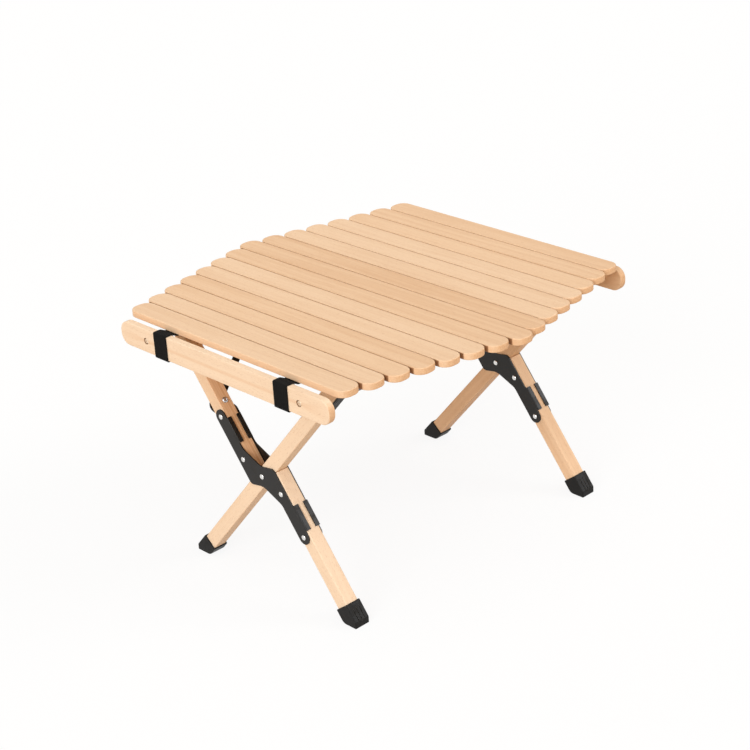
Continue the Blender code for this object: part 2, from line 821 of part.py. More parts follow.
def make_braces(axes):
    """Make the split legs' braces, bolted through the legs and their rail."""
    middle, flank = SPLIT["upper"], -SPLIT["outer"]
    faces = sorted((middle + flank * FLANK_SEAT, middle + flank * BRACE_FACE))
    for end, sign in (("near", -1.0), ("far", 1.0)):
        brace = place_part(
            "side_brace_split_" + end,
            sheet([brace_outline(sign)], *faces, "X"),
            BLACK_STEEL,
            axes["split"],
        )
        holes = []
        for name, bolt in (("leg", leg_bolt(SPLIT, sign)), ("rail", rail_bolt(sign))):
            bolt_name = "brace_bolt_split_%s_%s" % (name, end)
            holes.append(make_bolt(bolt_name, flank, (middle, *bolt), axes["split"]))
        boolean(brace, "holes", gathered(holes))


def corner_outline(sign):
    """Return a corner plate's outline in (y, z): down the full leg and along its rail."""
    top = bar_top(FULL)
    outside = FRAME_PLACE + CORNER_ARM_HALF
    inside = FRAME_PLACE - CORNER_ARM_HALF
    tip = FRAME_PLACE - CORNER_REACH
    corners = [
        (outside, top, 0.001),
        (outside, top - CORNER_LENGTH, CORNER_TIP_RADIUS),
        (inside, top - CORNER_LENGTH, CORNER_TIP_RADIUS),
        (inside, top - CORNER_DEPTH, CORNER_FILLET),
        (tip, top - CORNER_DEPTH, CORNER_TIP_RADIUS),
        (tip, top, CORNER_TIP_RADIUS),
    ]
    return filleted([(sign * y, z, radius) for y, z, radius in corners], 4)


def make_corner_plates(axes):
    """Make the full legs' corner plates, each bolted through its leg."""
    middle, flank = FULL["upper"], -FULL["outer"]
    faces = sorted((middle + flank * FLANK_SEAT, middle + flank * BRACE_FACE))
    for end, sign in (("near", -1.0), ("far", 1.0)):
        plate = place_part(
            "corner_plate_full_" + end,
            sheet([corner_outline(sign)], *faces, "X"),
            BLACK_STEEL,
            axes["full"],
        )
        spot = (middle, *leg_bolt(FULL, sign))
        hole = make_bolt("corner_bolt_full_" + end, flank, spot, axes["full"])
        boolean(plate, "hole", hole)


def make_bolt(name, flank, spot, axis):
    """Make a bolt through a flat bar and the wood behind it, and return its bore."""
    sizes = (BOLT_RADIUS, BOLT_HEAD_RADIUS, BOLT_HEAD_HEIGHT, "X")
    span = sorted((flank * (BRACE_FACE + REST_GAP), -flank * FLANK_SEAT))
    place_part(name, stud(*span, *sizes, spot), BRIGHT_STEEL, axis)
    return bore(BOLT_RADIUS, LEG_WIDTH, "X", spot)


def make_frames():
    """Make both crossing-leg frames on the fold axis."""
    pivot = (PIVOT_X, 0.0, PIVOT_HEIGHT)
    axes = {
        "full": axis_empty("full_leg_axis", pivot, None, FULL["lean"]),
        "split": axis_empty("split_leg_axis", pivot, None, SPLIT["lean"]),
    }
    make_legs(axes)
    make_plates(axes)
    make_rivets(axes)
    make_caps(axes)
    make_rails(axes)
    make_braces(axes)
    make_corner_plates(axes)


make_top()
make_frames()
bpy.context.view_layer.update()
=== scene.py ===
"""Looks of a roll-top folding camp table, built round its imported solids.

Metres, +Z up, in the frame of the solids: the slats run along X, the top rolls up along
Y, and each pair of crossing legs stands in a plane of constant Y.
"""

from __future__ import annotations

import json
import logging
import math
from collections.abc import Callable, Sequence
from dataclasses import dataclass, field
from enum import Enum

import bmesh
import bpy
from mathutils import Matrix, Vector

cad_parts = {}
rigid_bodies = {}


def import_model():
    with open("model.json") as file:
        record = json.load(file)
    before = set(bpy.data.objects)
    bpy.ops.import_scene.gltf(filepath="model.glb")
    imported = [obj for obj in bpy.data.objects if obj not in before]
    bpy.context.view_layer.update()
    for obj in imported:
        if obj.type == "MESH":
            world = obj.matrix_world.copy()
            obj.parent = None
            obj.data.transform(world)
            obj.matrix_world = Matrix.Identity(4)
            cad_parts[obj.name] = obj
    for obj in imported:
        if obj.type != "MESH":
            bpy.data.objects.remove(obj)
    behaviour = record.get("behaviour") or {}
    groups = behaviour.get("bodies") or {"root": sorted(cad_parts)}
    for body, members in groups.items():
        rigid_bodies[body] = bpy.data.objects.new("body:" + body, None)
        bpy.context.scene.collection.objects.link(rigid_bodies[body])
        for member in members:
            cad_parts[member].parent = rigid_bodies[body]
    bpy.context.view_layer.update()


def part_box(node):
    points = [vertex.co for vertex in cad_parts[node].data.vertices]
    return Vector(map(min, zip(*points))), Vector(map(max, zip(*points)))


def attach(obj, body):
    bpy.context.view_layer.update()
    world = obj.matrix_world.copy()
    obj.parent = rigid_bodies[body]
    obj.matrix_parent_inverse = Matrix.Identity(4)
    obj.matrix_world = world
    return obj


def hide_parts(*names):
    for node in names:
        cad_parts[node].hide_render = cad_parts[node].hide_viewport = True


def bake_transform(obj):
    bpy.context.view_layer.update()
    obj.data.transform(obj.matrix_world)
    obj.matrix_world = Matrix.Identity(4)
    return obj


for leftover in list(bpy.data.objects):
    bpy.data.objects.remove(leftover, do_unlink=True)

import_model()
LOG = logging.getLogger("camp_table")

Mesh = bpy.types.Mesh
Material = bpy.types.Material
Node = bpy.types.Node
NodeTree = bpy.types.NodeTree
Socket = bpy.types.NodeSocket
Point = tuple[float, float]
Corner = tuple[float, float, float]
Colour = tuple[float, float, float, float]

MILLIMETRE = 0.001
SMOOTH_ANGLE = math.radians(38.0)
SCREW_STEPS = 36
HOLE_STEPS = 32
LUG_STEPS = 36
CORNER_STEPS = 8
BEND_STEPS = 6
SMALL_STEPS = 5
SHARP_ANGLE = math.radians(28.0)
EASED_ANGLE = math.radians(40.0)
ACROSS_Y = Matrix.Rotation(math.radians(-90.0), 4, "X")
ENDS = (("near", -1.0), ("far", 1.0))
CROSS_HALF_WIDTH = 0.24
CROSS_CORE = 0.34


class Plane(Enum):
    """The plane of a drawn outline and the axis that it is thickened along."""

    XY = "xy"
    XZ = "xz"
    YZ = "yz"

    def place(self, a: float, b: float, height: float) -> Corner:
        """Put an outline's point in space, at a height along the axis that is left out."""
        return {"xy": (a, b, height), "xz": (a, height, b), "yz": (height, a, b)}[self.value]


class Drive(Enum):
    """The recess in a fastener's head."""

    PLAIN = "plain"
    HEX = "hex"
    CROSS = "cross"

    def reach(self, angle: float, radius: float) -> float:
        """Give the recess's edge in one direction.

        Args:
            angle: Direction round the head, in radians.
            radius: Half the recess's greatest width.

        Returns:
            Distance from the head's centre.
        """
        if self is Drive.HEX:
            part = (angle + math.pi / 6) % (math.pi / 3) - math.pi / 6
            return radius * math.cos(math.pi / 6) / math.cos(part)
        if self is Drive.CROSS:
            part = abs((angle + math.pi / 4) % (math.pi / 2) - math.pi / 4)
            half_width = CROSS_HALF_WIDTH * radius
            if math.tan(part) < half_width / radius:
                return radius
            return max(half_width / math.sin(part), CROSS_CORE * radius)
        return radius


# Shapes


def rounded_outline(corners: Sequence[Corner], steps: int = 12) -> list[Point]:
    """Round the corners of an outline.

    Args:
        corners: Corners as (a, b, radius).
        steps: Segments in each rounded corner.

    Returns:
        The outline's points.
    """
    points: list[Point] = []
    count = len(corners)
    for index, (a, b, radius) in enumerate(corners):
        here = Vector((a, b))
        if radius <= 0.0:
            points.append((a, b))
            continue
        before = (Vector(corners[index - 1][:2]) - here).normalized()
        after = (Vector(corners[(index + 1) % count][:2]) - here).normalized()
        half = before.angle(after) / 2
        centre = here + (before + after).normalized() * (radius / math.sin(half))
        start = here + before * (radius / math.tan(half)) - centre
        turn = math.pi - 2 * half
        if before.x * after.y - before.y * after.x > 0:
            turn = -turn
        for step in range(steps + 1):
            spoke = start.copy()
            spoke.rotate(Matrix.Rotation(turn * step / steps, 2))
            points.append(tuple(centre + spoke))
    return points


def rounded_box(low: Point, high: Point, radius: float, steps: int = 14) -> list[Point]:
    """Draw a rectangle with rounded corners from its lower corner to its upper one."""
    corners = (low, (high[0], low[1]), high, (low[0], high[1]))
    return rounded_outline([(a, b, radius) for a, b in corners], steps)


def closed_mesh(bm: bmesh.types.BMesh) -> Mesh:
    """Turn a bmesh into a mesh with its faces pointing out.

    Args:
        bm: The shape, which is freed.

    Returns:
        The mesh.
    """
    bmesh.ops.recalc_face_normals(bm, faces=bm.faces)
    mesh = bpy.data.meshes.new("shape")
    bm.to_mesh(mesh)
    bm.free()
    return mesh


def sharp_edges(bm: bmesh.types.BMesh) -> list[bmesh.types.BMEdge]:
    """List the edges whose two faces meet at a clear angle."""
    return [edge for edge in bm.edges if edge.calc_face_angle(0.0) > SHARP_ANGLE]


def prism(
    outline: Sequence[Point],
    low: float,
    high: float,
    plane: Plane,
    arris: float = 0.0,
    arris_steps: int = 3,
) -> Mesh:
    """Thicken an outline into a piece with rounded arrises.

    Args:
        outline: The outline's points in order.
        low: Lower face along the left-out axis.
        high: Upper face along the left-out axis.
        plane: The outline's plane.
        arris: Radius of every arris.
        arris_steps: Segments across each arris.

    Returns:
        A closed mesh.
    """
    bm = bmesh.new()
    lower = [bm.verts.new(plane.place(a, b, low)) for a, b in outline]
    upper = [bm.verts.new(plane.place(a, b, high)) for a, b in outline]
    bm.faces.new(lower[::-1])
    bm.faces.new(upper)
    for index, vert in enumerate(lower):
        after = (index + 1) % len(lower)
        bm.faces.new((vert, lower[after], upper[after], upper[index]))
    bmesh.ops.recalc_face_normals(bm, faces=bm.faces)
    if arris > 0.0:
        bmesh.ops.bevel(
            bm,
            geom=sharp_edges(bm),
            offset=arris,
            segments=arris_steps,
            profile=0.5,
            affect="EDGES",
            clamp_overlap=True,
        )
    return closed_mesh(bm)


def turned(
    profile: Sequence[Point],
    steps: int,
    drive: Drive = Drive.PLAIN,
    drive_rings: Sequence[int] = (),
) -> Mesh:
    """Turn a profile round local Z.

    Args:
        profile: Points (radius, z) from one end of the axis to the other.
        steps: Segments round the axis.
        drive: Shape of the rings that belong to the recess.
        drive_rings: Indices of those rings in the profile.

    Returns:
        A closed mesh.
    """
    bm = bmesh.new()
    rings: list[list[bmesh.types.BMVert]] = []
    for index, (radius, height) in enumerate(profile):
        if radius <= 0.0:
            rings.append([bm.verts.new((0.0, 0.0, height))])
            continue
        ring = []
        for step in range(steps):
            angle = 2 * math.pi * step / steps
            reach = drive.reach(angle, radius) if index in drive_rings else radius
            ring.append(bm.verts.new((reach * math.cos(angle), reach * math.sin(angle), height)))
        rings.append(ring)
    for first, second in zip(rings, rings[1:]):
        for step in range(steps):
            after = (step + 1) % steps
            if len(first) == 1:
                bm.faces.new((first[0], second[step], second[after]))
            elif len(second) == 1:
                bm.faces.new((first[step], second[0], first[after]))
            else:
                bm.faces.new((first[step], second[step], second[after], first[after]))
    return closed_mesh(bm)


def joined(meshes: Sequence[Mesh]) -> Mesh:
    """Gather several meshes into one and drop the originals.

    Args:
        meshes: The meshes to gather.

    Returns:
        One mesh that holds them all.
    """
    bm = bmesh.new()
    for mesh in meshes:
        bm.from_mesh(mesh)
        bpy.data.meshes.remove(mesh)
    return closed_mesh(bm)


def carved(body: Mesh, cutter: Mesh, operation: str = "DIFFERENCE", arris: float = 0.0) -> Mesh:
    """Cut one mesh by another, or join them, and ease the new arrises.

    Args:
        body: The mesh that is kept.
        cutter: The mesh that cuts it or is joined to it.
        operation: Boolean operation.
        arris: Width of the bevel on the result's sharp edges.

    Returns:
        The result, and both inputs are dropped.
    """
    kept = bpy.data.objects.new("kept", body)
    tool = bpy.data.objects.new("tool", cutter)
    for item in (kept, tool):
        bpy.context.scene.collection.objects.link(item)
    cut = kept.modifiers.new("cut", "BOOLEAN")
    cut.operation, cut.solver, cut.object = operation, "EXACT", tool
    if arris > 0.0:
        ease = kept.modifiers.new("ease", "BEVEL")
        ease.width, ease.segments, ease.limit_method = arris, 2, "ANGLE"
        ease.angle_limit = EASED_ANGLE
    graph = bpy.context.evaluated_depsgraph_get()
    made = bpy.data.meshes.new_from_object(kept.evaluated_get(graph))
    for item, mesh in ((kept, body), (tool, cutter)):
        bpy.data.objects.remove(item, do_unlink=True)
        bpy.data.meshes.remove(mesh)
    return made


def placed(axes: Sequence[Corner], origin: Corner) -> Matrix:
    """Make the place that has these three axes and this origin."""
    return Matrix([(*axis, 0.0) for axis in axes] + [(*origin, 1.0)]).transposed()


@dataclass(frozen=True)
class Fitting:
    """Where a finished piece goes: its body, the solids it stands for and its slot."""

    body: str
    slot: str
    stands_for: tuple[str, ...] = ()
    place: Matrix = field(default_factory=lambda: Matrix.Identity(4))


def piece(name: str, mesh: Mesh, finish: Material, fitting: Fitting) -> bpy.types.Object:
    """Make a piece, smooth its shading and fix it to its body.

    Args:
        name: The piece's name.
        mesh: Its final mesh.
        finish: Its material.
        fitting: Its body, solids, slot and place.

    Returns:
        The piece.
    """
    mesh.transform(fitting.place)
    mesh.name = name
    mesh.materials.clear()
    mesh.materials.append(finish)
    mesh.shade_smooth()
    mesh.set_sharp_from_angle(angle=SMOOTH_ANGLE)
    made = bpy.data.objects.new(name, mesh)
    bpy.context.scene.collection.objects.link(made)
    weighted = made.modifiers.new("weighted_normals", "WEIGHTED_NORMAL")
    weighted.keep_sharp = True
    if fitting.stands_for:
        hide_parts(*fitting.stands_for)
    if fitting.body:
        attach(made, fitting.body)
    LOG.info("%s on %s", name, fitting.body or "two bodies")
    return made


# Finishes


class Net:
    """A node tree with short calls to add nodes and join them.

    What a call is given is a number, a colour, a vector or another node's output.
    """

    def __init__(self, tree: NodeTree) -> None:
        """Keep the tree that the calls work on."""
        self.tree = tree

    def feed(self, node: Node, sockets: dict[str | int, object]) -> None:
        """Give a node its inputs.

        Args:
            node: The node.
            sockets: What goes into its inputs, by their names or numbers.
        """
        for key, value in sockets.items():
            if isinstance(value, Socket):
                self.tree.links.new(value, node.inputs[key])
            else:
                node.inputs[key].default_value = value

    def add(
        self, kind: str, sockets: dict[str | int, object] | None = None, **settings: object
    ) -> Node:
        """Add a node.

        Args:
            kind: The node's type.
            sockets: What goes into its inputs.
            settings: Its properties.

        Returns:
            The node.
        """
        node = self.tree.nodes.new(kind)
        for key, value in settings.items():
            setattr(node, key, value)
        self.feed(node, sockets or {})
        return node

    def maths(self, operation: str, first: object, second: object = 0.0) -> Socket:
        """Work out one number by a Math node's operation."""
        node = self.add("ShaderNodeMath", {0: first, 1: second}, operation=operation)
        return node.outputs[0]

    def plus(self, first: object, second: object) -> Socket:
        """Add two numbers."""
        return self.maths("ADD", first, second)

    def times(self, first: object, second: object) -> Socket:
        """Multiply two numbers."""
        return self.maths("MULTIPLY", first, second)

    def swing(self, value: object, size: float) -> Socket:
        """Let a number from 0 to 1 swing about 0 instead, by a size from end to end."""
        return self.times(self.maths("SUBTRACT", value, 0.5), size)

    def clamped(self, value: object) -> Socket:
        """Keep a number between 0 and 1."""
        return self.add("ShaderNodeClamp", {0: value}).outputs[0]

    def vector(self, operation: str, first: object, second: object) -> Socket:
        """Work out one vector, or a dot product, by a Vector Math node's operation."""
        node = self.add("ShaderNodeVectorMath", {0: first, 1: second}, operation=operation)
        return node.outputs["Value" if operation == "DOT_PRODUCT" else "Vector"]

    def remap(
        self, value: object, low: float, high: float, to_low: float = 0.0, to_high: float = 1.0
    ) -> Socket:
        """Bring a number from one range to another, smoothly and clamped."""
        sockets = {0: value, 1: low, 2: high, 3: to_low, 4: to_high}
        return self.add("ShaderNodeMapRange", sockets, interpolation_type="SMOOTHSTEP").outputs[0]

    def blend(self, share: object, first: object, second: object) -> Socket:
        """Mix a share of the second colour into the first."""
        node = self.add("ShaderNodeMix", {0: share, 6: first, 7: second}, data_type="RGBA")
        return node.outputs[2]

    def noise(
        self, vector: object, cells: Corner, detail: float = 2.0, twist: float = 0.0
    ) -> Socket:
        """Sample stretched noise.

        Args:
            vector: Coordinates in metres.
            cells: Cells a metre along each axis.
            detail: Octaves.
            twist: Distortion.

        Returns:
            The noise value's socket.
        """
        place = self.vector("MULTIPLY", vector, cells)
        sockets = {"Vector": place, "Scale": 1.0, "Detail": detail, "Distortion": twist}
        return self.add("ShaderNodeTexNoise", sockets).outputs[0]

    def even_noise(self, scale: object, detail: float) -> Socket:
        """Sample noise that is alike in every direction of the object."""
        here = self.add("ShaderNodeTexCoord").outputs["Object"]
        sockets = {"Vector": here, "Scale": scale, "Detail": detail}
        return self.add("ShaderNodeTexNoise", sockets).outputs[0]

    def stored(self, name: str, output: str = "Fac") -> Socket:
        """Read a value that a mesh stores."""
        return self.add("ShaderNodeAttribute", attribute_name=name).outputs[output]

    def place(
        self, group: NodeTree, sockets: dict[str | int, object]
    ) -> bpy.types.bpy_prop_collection:
        """Place a shared effect with its own values and give its outputs."""
        return self.add("ShaderNodeGroup", sockets, node_tree=group).outputs


def effect(
    name: str, inputs: Sequence[tuple[str, str, object]], outputs: Sequence[str]
) -> tuple[Net, Node, Node]:
    """Start a shader node group.

    Args:
        name: The group's name.
        inputs: Its inputs as (name, socket type, default).
        outputs: Names of its outputs, all numbers.

    Returns:
        The group's net, its input node and its output node.
    """
    tree = bpy.data.node_groups.new(name, "ShaderNodeTree")
    for label, kind, default in inputs:
        socket = tree.interface.new_socket(label, in_out="INPUT", socket_type=kind)
        if default is not None:
            socket.default_value = default
    for label in outputs:
        tree.interface.new_socket(label, in_out="OUTPUT", socket_type="NodeSocketFloat")
    net = Net(tree)
    return net, net.add("NodeGroupInput"), net.add("NodeGroupOutput")


BEND_CELLS: Corner = (3.0, 9.0, 9.0)
BAND_CELLS: Corner = (1.6, 150.0, 110.0)
FIBRE_CELLS: Corner = (22.0, 1150.0, 1150.0)
DASH_CELLS: Corner = (170.0, 2100.0, 2100.0)
CLOUD_CELLS: Corner = (5.0, 16.0, 16.0)
GRAIN_DRIFT = 0.024
DASH_EDGES: Point = (0.66, 0.78)
EDGE_FACING: Point = (0.995, 0.90)
EDGE_PATCH: Point = (0.40, 0.62)
FILM_EDGES: Point = (0.42, 0.72)


def timber_figure() -> NodeTree:
    """Build the figure of straight-grained beech, with its grain along X.

    Returns:
        A group that gives Bands, Fibre, Flecks and Cloud.
    """
    net, given, out = effect(
        "timber_figure",
        [("Vector", "NodeSocketVector", None)],
        ["Bands", "Fibre", "Flecks", "Cloud"],
    )
    place = given.outputs["Vector"]
    lean = net.swing(net.noise(place, BEND_CELLS, 1.0), GRAIN_DRIFT)
    drift = net.add("ShaderNodeCombineXYZ", {0: 0.0, 1: lean, 2: lean})
    flow = net.vector("ADD", place, drift.outputs[0])
    figure = {
        "Bands": net.noise(flow, BAND_CELLS, 3.0),
        "Fibre": net.noise(flow, FIBRE_CELLS),
        "Flecks": net.remap(net.noise(flow, DASH_CELLS, 0.0), *DASH_EDGES),
        "Cloud": net.noise(place, CLOUD_CELLS),
    }
    net.feed(out, figure)
    return net.tree


def edge_mask() -> NodeTree:
    """Build the mask of a piece's edges, for wear and, on steel and plastic, a painted highlight.

    Returns:
        A group that gives Mask.
    """
    net, given, out = effect(
        "edge_mask",
        [
            ("Radius", "NodeSocketFloat", 0.001),
            ("Patchiness", "NodeSocketFloat", 0.5),
            ("Scale", "NodeSocketFloat", 180.0),
        ],
        ["Mask"],
    )
    soft = net.add("ShaderNodeBevel", {"Radius": given.outputs["Radius"]}, samples=4)
    true = net.add("ShaderNodeNewGeometry")
    same = net.vector("DOT_PRODUCT", soft.outputs[0], true.outputs["Normal"])
    patchy = net.remap(net.even_noise(given.outputs["Scale"], 3.0), *EDGE_PATCH)
    patchiness = given.outputs["Patchiness"]
    share = net.plus(net.maths("SUBTRACT", 1.0, patchiness), net.times(patchy, patchiness))
    net.feed(out, {"Mask": net.times(net.remap(same, *EDGE_FACING), share)})
    return net.tree


def fine_grit() -> NodeTree:
    """Build the fine texture of coated steel and moulded plastic.

    Returns:
        A group that gives Height and Film, the film being handling marks and dust.
    """
    net, given, out = effect(
        "fine_grit",
        [("Grit", "NodeSocketFloat", 2600.0), ("Film Scale", "NodeSocketFloat", 55.0)],
        ["Height", "Film"],
    )
    film = net.remap(net.even_noise(given.outputs["Film Scale"], 4.0), *FILM_EDGES)
    net.feed(out, {"Height": net.even_noise(given.outputs["Grit"], 2.0), "Film": film})
    return net.tree


@dataclass(frozen=True)
class Finish:
    """A named material; its relief is a depth in metres and how much of it shows."""

    name: str
    specular: float = 0.5
    roughness: Point = (0.4, 0.6)
    relief: Point = (0.0001, 0.5)

    def start(self) -> tuple[Material, Net]:
        """Make the material and give its net."""
        material = bpy.data.materials.new(self.name)
        material.use_nodes = True
        return material, Net(material.node_tree)

    def cover(self, net: Net, colour: object, rough: object, height: object) -> Node:
        """Join what was worked out to the surface shader.

        Args:
            net: The material's net.
            colour: The colour's socket.
            rough: The roughness's socket.
            height: The height map's socket, 0 to 1.

        Returns:
            The material's Principled node.
        """
        depth, strength = self.relief
        sockets = {"Strength": strength, "Distance": depth, "Height": height}
        bump = net.add("ShaderNodeBump", sockets)
        surface = net.tree.nodes["Principled BSDF"]
        looks = {"Base Color": colour, "Roughness": rough, "Normal": bump.outputs[0]}
        net.feed(surface, looks)
        surface.inputs["Specular IOR Level"].default_value = self.specular
        return surface

    def edge_mask_of(self, net: Net, wear: NodeTree, edge: Corner) -> Socket:
        """Place the edge mask, for wear and painted highlights, by its radius, patchiness and scale.
        """
        values = dict(zip(("Radius", "Patchiness", "Scale"), edge))
        return net.place(wear, values)["Mask"]


@dataclass(frozen=True)
class Beech(Finish):
    """Planed and oiled beech, with its grain along the stored coordinates' X.

    A stock's tone deepens its bands, and one below nothing washes them out.
    """

    specular: float = 0.30
    roughness: Point = (0.46, 0.62)
    relief: Point = (0.00012, 0.55)
    figure: NodeTree | None = None
    wear: NodeTree | None = None
    washed: Colour = (0.93, 0.725, 0.53, 1.0)
    pale: Colour = (0.88, 0.615, 0.395, 1.0)
    deep: Colour = (0.71, 0.43, 0.235, 1.0)
    fleck: Colour = (0.55, 0.30, 0.15, 1.0)
    end_pale: Colour = (0.86, 0.55, 0.32, 1.0)
    end_grain: Colour = (0.72, 0.41, 0.21, 1.0)
    edge_tint: Colour = (0.80, 0.52, 0.30, 1.0)
    # Colour of the painted shade in close gaps and screw holes.
    painted_crevice_shade: Colour = (0.26, 0.12, 0.050, 1.0)
    band_edges: Point = (0.32, 0.70)
    band_share: float = 0.34
    band_share_of_tone: float = 0.3
    washed_share_of_tone: float = -2.0
    pale_stock_share: float = 0.25
    cloud_share: float = 0.55
    fibre_share: float = 0.34
    fibre_edges: Point = (0.2, 0.8)
    fleck_share: float = 0.45
    fleck_sink: float = 0.8
    ring_cells: Corner = (0.0, 420.0, 420.0)
    ring_twist: float = 0.6
    ring_edges: Point = (0.3, 0.7)
    edge: Corner = (0.0011, 0.7, 90.0)
    edge_tint_share: float = 0.25

    def build(self) -> Material:
        """Build the material.

        Returns:
            The material.
        """
        material, net = self.start()
        here, tone = net.stored("grain_place", "Vector"), net.stored("stock_tone")
        grain = net.place(self.figure, {"Vector": here})
        deepening = net.plus(self.band_share, net.times(tone, self.band_share_of_tone))
        bands = net.times(net.remap(grain["Bands"], *self.band_edges), deepening)
        stock = net.maths("MAXIMUM", tone, net.times(tone, self.pale_stock_share))
        share = net.plus(bands, net.plus(stock, net.swing(grain["Cloud"], self.cloud_share)))
        share = net.clamped(net.plus(share, net.swing(grain["Fibre"], self.fibre_share)))
        light = net.clamped(net.times(tone, self.washed_share_of_tone))
        colour = net.blend(share, net.blend(light, self.pale, self.washed), self.deep)
        dash = net.times(grain["Flecks"], self.fleck_share)
        colour = net.blend(dash, colour, self.fleck)
        rings = net.remap(net.noise(here, self.ring_cells, 3.0, self.ring_twist), *self.ring_edges)
        # End colour on the cut ends, and painted shade where a leg's flank share lays it on.
        cut_end = net.blend(rings, self.end_pale, self.end_grain)
        colour = net.blend(net.stored("cut_end"), colour, cut_end)
        edge_tint = net.times(self.edge_mask_of(net, self.wear, self.edge), self.edge_tint_share)
        colour = net.blend(edge_tint, colour, self.edge_tint)
        # Painted shade in the gaps between slats and on the walls of screw holes.
        colour = net.blend(net.stored("painted_crevice_shade"), colour, self.painted_crevice_shade)
        rough = net.remap(grain["Fibre"], *self.fibre_edges, *self.roughness)
        height = net.maths("SUBTRACT", grain["Fibre"], net.times(dash, self.fleck_sink))
        self.cover(net, colour, rough, height)
        return material


@dataclass(frozen=True)
class Webbing(Finish):
    """Black polyester webbing, ribbed along its run."""

    specular: float = 0.12
    roughness: Point = (0.82, 0.95)
    relief: Point = (0.00035, 0.9)
    rib_pitch: float = 0.0019
    pick_pitch: float = 0.0011
    thread: Colour = (0.0050, 0.0047, 0.0044, 1.0)
    light_thread: Colour = (0.016, 0.015, 0.0138, 1.0)
    rib_floor: float = 0.45
    fuzz_cells: Corner = (3200.0, 900.0, 1.0)
    fuzz_edges: Point = (0.2, 0.8)
    fuzz_relief: float = 0.5
    wear_cells: Corner = (60.0, 24.0, 1.0)
    wear_edges: Point = (0.45, 0.75)
    rib_share: float = 0.55
    wear_share: float = 0.18

    def build(self) -> Material:
        """Build the material.

        Returns:
            The material.
        """
        material, net = self.start()
        run, across = net.stored("strap_run"), net.stored("strap_across")
        rib = net.maths("ABSOLUTE", net.maths("SINE", net.times(across, math.pi / self.rib_pitch)))
        over = net.maths("ROUND", net.maths("DIVIDE", across, self.rib_pitch))
        phase = net.plus(net.times(run, math.pi / self.pick_pitch), net.times(over, math.pi / 2))
        pick = net.maths("ABSOLUTE", net.maths("SINE", phase))
        height = net.times(rib, net.plus(self.rib_floor, pick))
        place = net.add("ShaderNodeCombineXYZ", {0: across, 1: run, 2: 0.0}).outputs[0]
        fuzz = net.noise(place, self.fuzz_cells)
        wear = net.remap(net.noise(place, self.wear_cells, 3.0), *self.wear_edges)
        share = net.times(net.times(height, self.rib_share), fuzz)
        share = net.plus(share, net.times(wear, self.wear_share))
        colour = net.blend(share, self.thread, self.light_thread)
        rough = net.remap(fuzz, *self.fuzz_edges, *self.roughness)
        self.cover(net, colour, rough, net.plus(height, net.times(fuzz, self.fuzz_relief)))
        return material


@dataclass(frozen=True)
class CoatedSteel(Finish):
    """Dark satin coating on steel, under a film of dust, lighter along its edges: partly wear,
    partly a painted highlight.
    """

    specular: float = 0.28
    roughness: Point = (0.34, 0.50)
    relief: Point = (0.00006, 0.35)
    grit: NodeTree | None = None
    wear: NodeTree | None = None
    clean: Colour = (0.0085, 0.0068, 0.0054, 1.0)
    dusty: Colour = (0.021, 0.0172, 0.0138, 1.0)
    # Edge tint: partly wear, partly a painted highlight on the edges and lips.
    edge_tint: Colour = (0.15, 0.135, 0.118, 1.0)
    grit_scale: float = 1900.0
    film_scale: float = 60.0
    film_share: float = 0.45
    edge: Corner = (0.0007, 0.75, 260.0)
    edge_tint_share: float = 0.55
    metallic: float = 0.0

    def build(self) -> Material:
        """Build the material.

        Returns:
            The material.
        """
        material, net = self.start()
        scales = {"Grit": self.grit_scale, "Film Scale": self.film_scale}
        texture = net.place(self.grit, scales)
        film = net.times(texture["Film"], self.film_share)
        colour = net.blend(film, self.clean, self.dusty)
        # Lighter edges, partly wear and partly a painted highlight.
        if self.wear:
            edge_tint = net.times(self.edge_mask_of(net, self.wear, self.edge), self.edge_tint_share)
            colour = net.blend(edge_tint, colour, self.edge_tint)
        rough = net.remap(texture["Film"], 0.0, 1.0, *self.roughness)
        surface = self.cover(net, colour, rough, texture["Height"])
        surface.inputs["Metallic"].default_value = self.metallic
        return material


@dataclass(frozen=True)
class BrightSteel(CoatedSteel):
    """Bare fastener steel under a thin film, with no edge tint."""

    specular: float = 0.5
    roughness: Point = (0.24, 0.42)
    relief: Point = (0.00002, 0.3)
    clean: Colour = (0.80, 0.785, 0.76, 1.0)
    dusty: Colour = (0.50, 0.48, 0.45, 1.0)
    grit_scale: float = 3600.0
    film_scale: float = 420.0
    film_share: float = 0.6
    metallic: float = 1.0


@dataclass(frozen=True)
class MouldedPlastic(CoatedSteel):
    """Near-black moulded plastic with a fine spark texture, lighter along its edges: partly scuffs,
    partly a painted highlight.
    """

    specular: float = 0.16
    roughness: Point = (0.40, 0.56)
    relief: Point = (0.00009, 0.5)
    clean: Colour = (0.0062, 0.0054, 0.0047, 1.0)
    dusty: Colour = (0.0150, 0.0135, 0.0120, 1.0)
    # Edge tint: partly scuffs, partly a painted highlight on the edges.
    edge_tint: Colour = (0.14, 0.13, 0.118, 1.0)
    grit_scale: float = 2400.0
    film_scale: float = 85.0
    film_share: float = 0.5
    edge: Corner = (0.0009, 0.6, 200.0)
    edge_tint_share: float = 0.6


ZINC = {"clean": (0.60, 0.585, 0.59, 1.0), "dusty": (0.34, 0.33, 0.34, 1.0)}
BRONZED = {"clean": (0.86, 0.66, 0.47, 1.0), "dusty": (0.68, 0.49, 0.33, 1.0)}


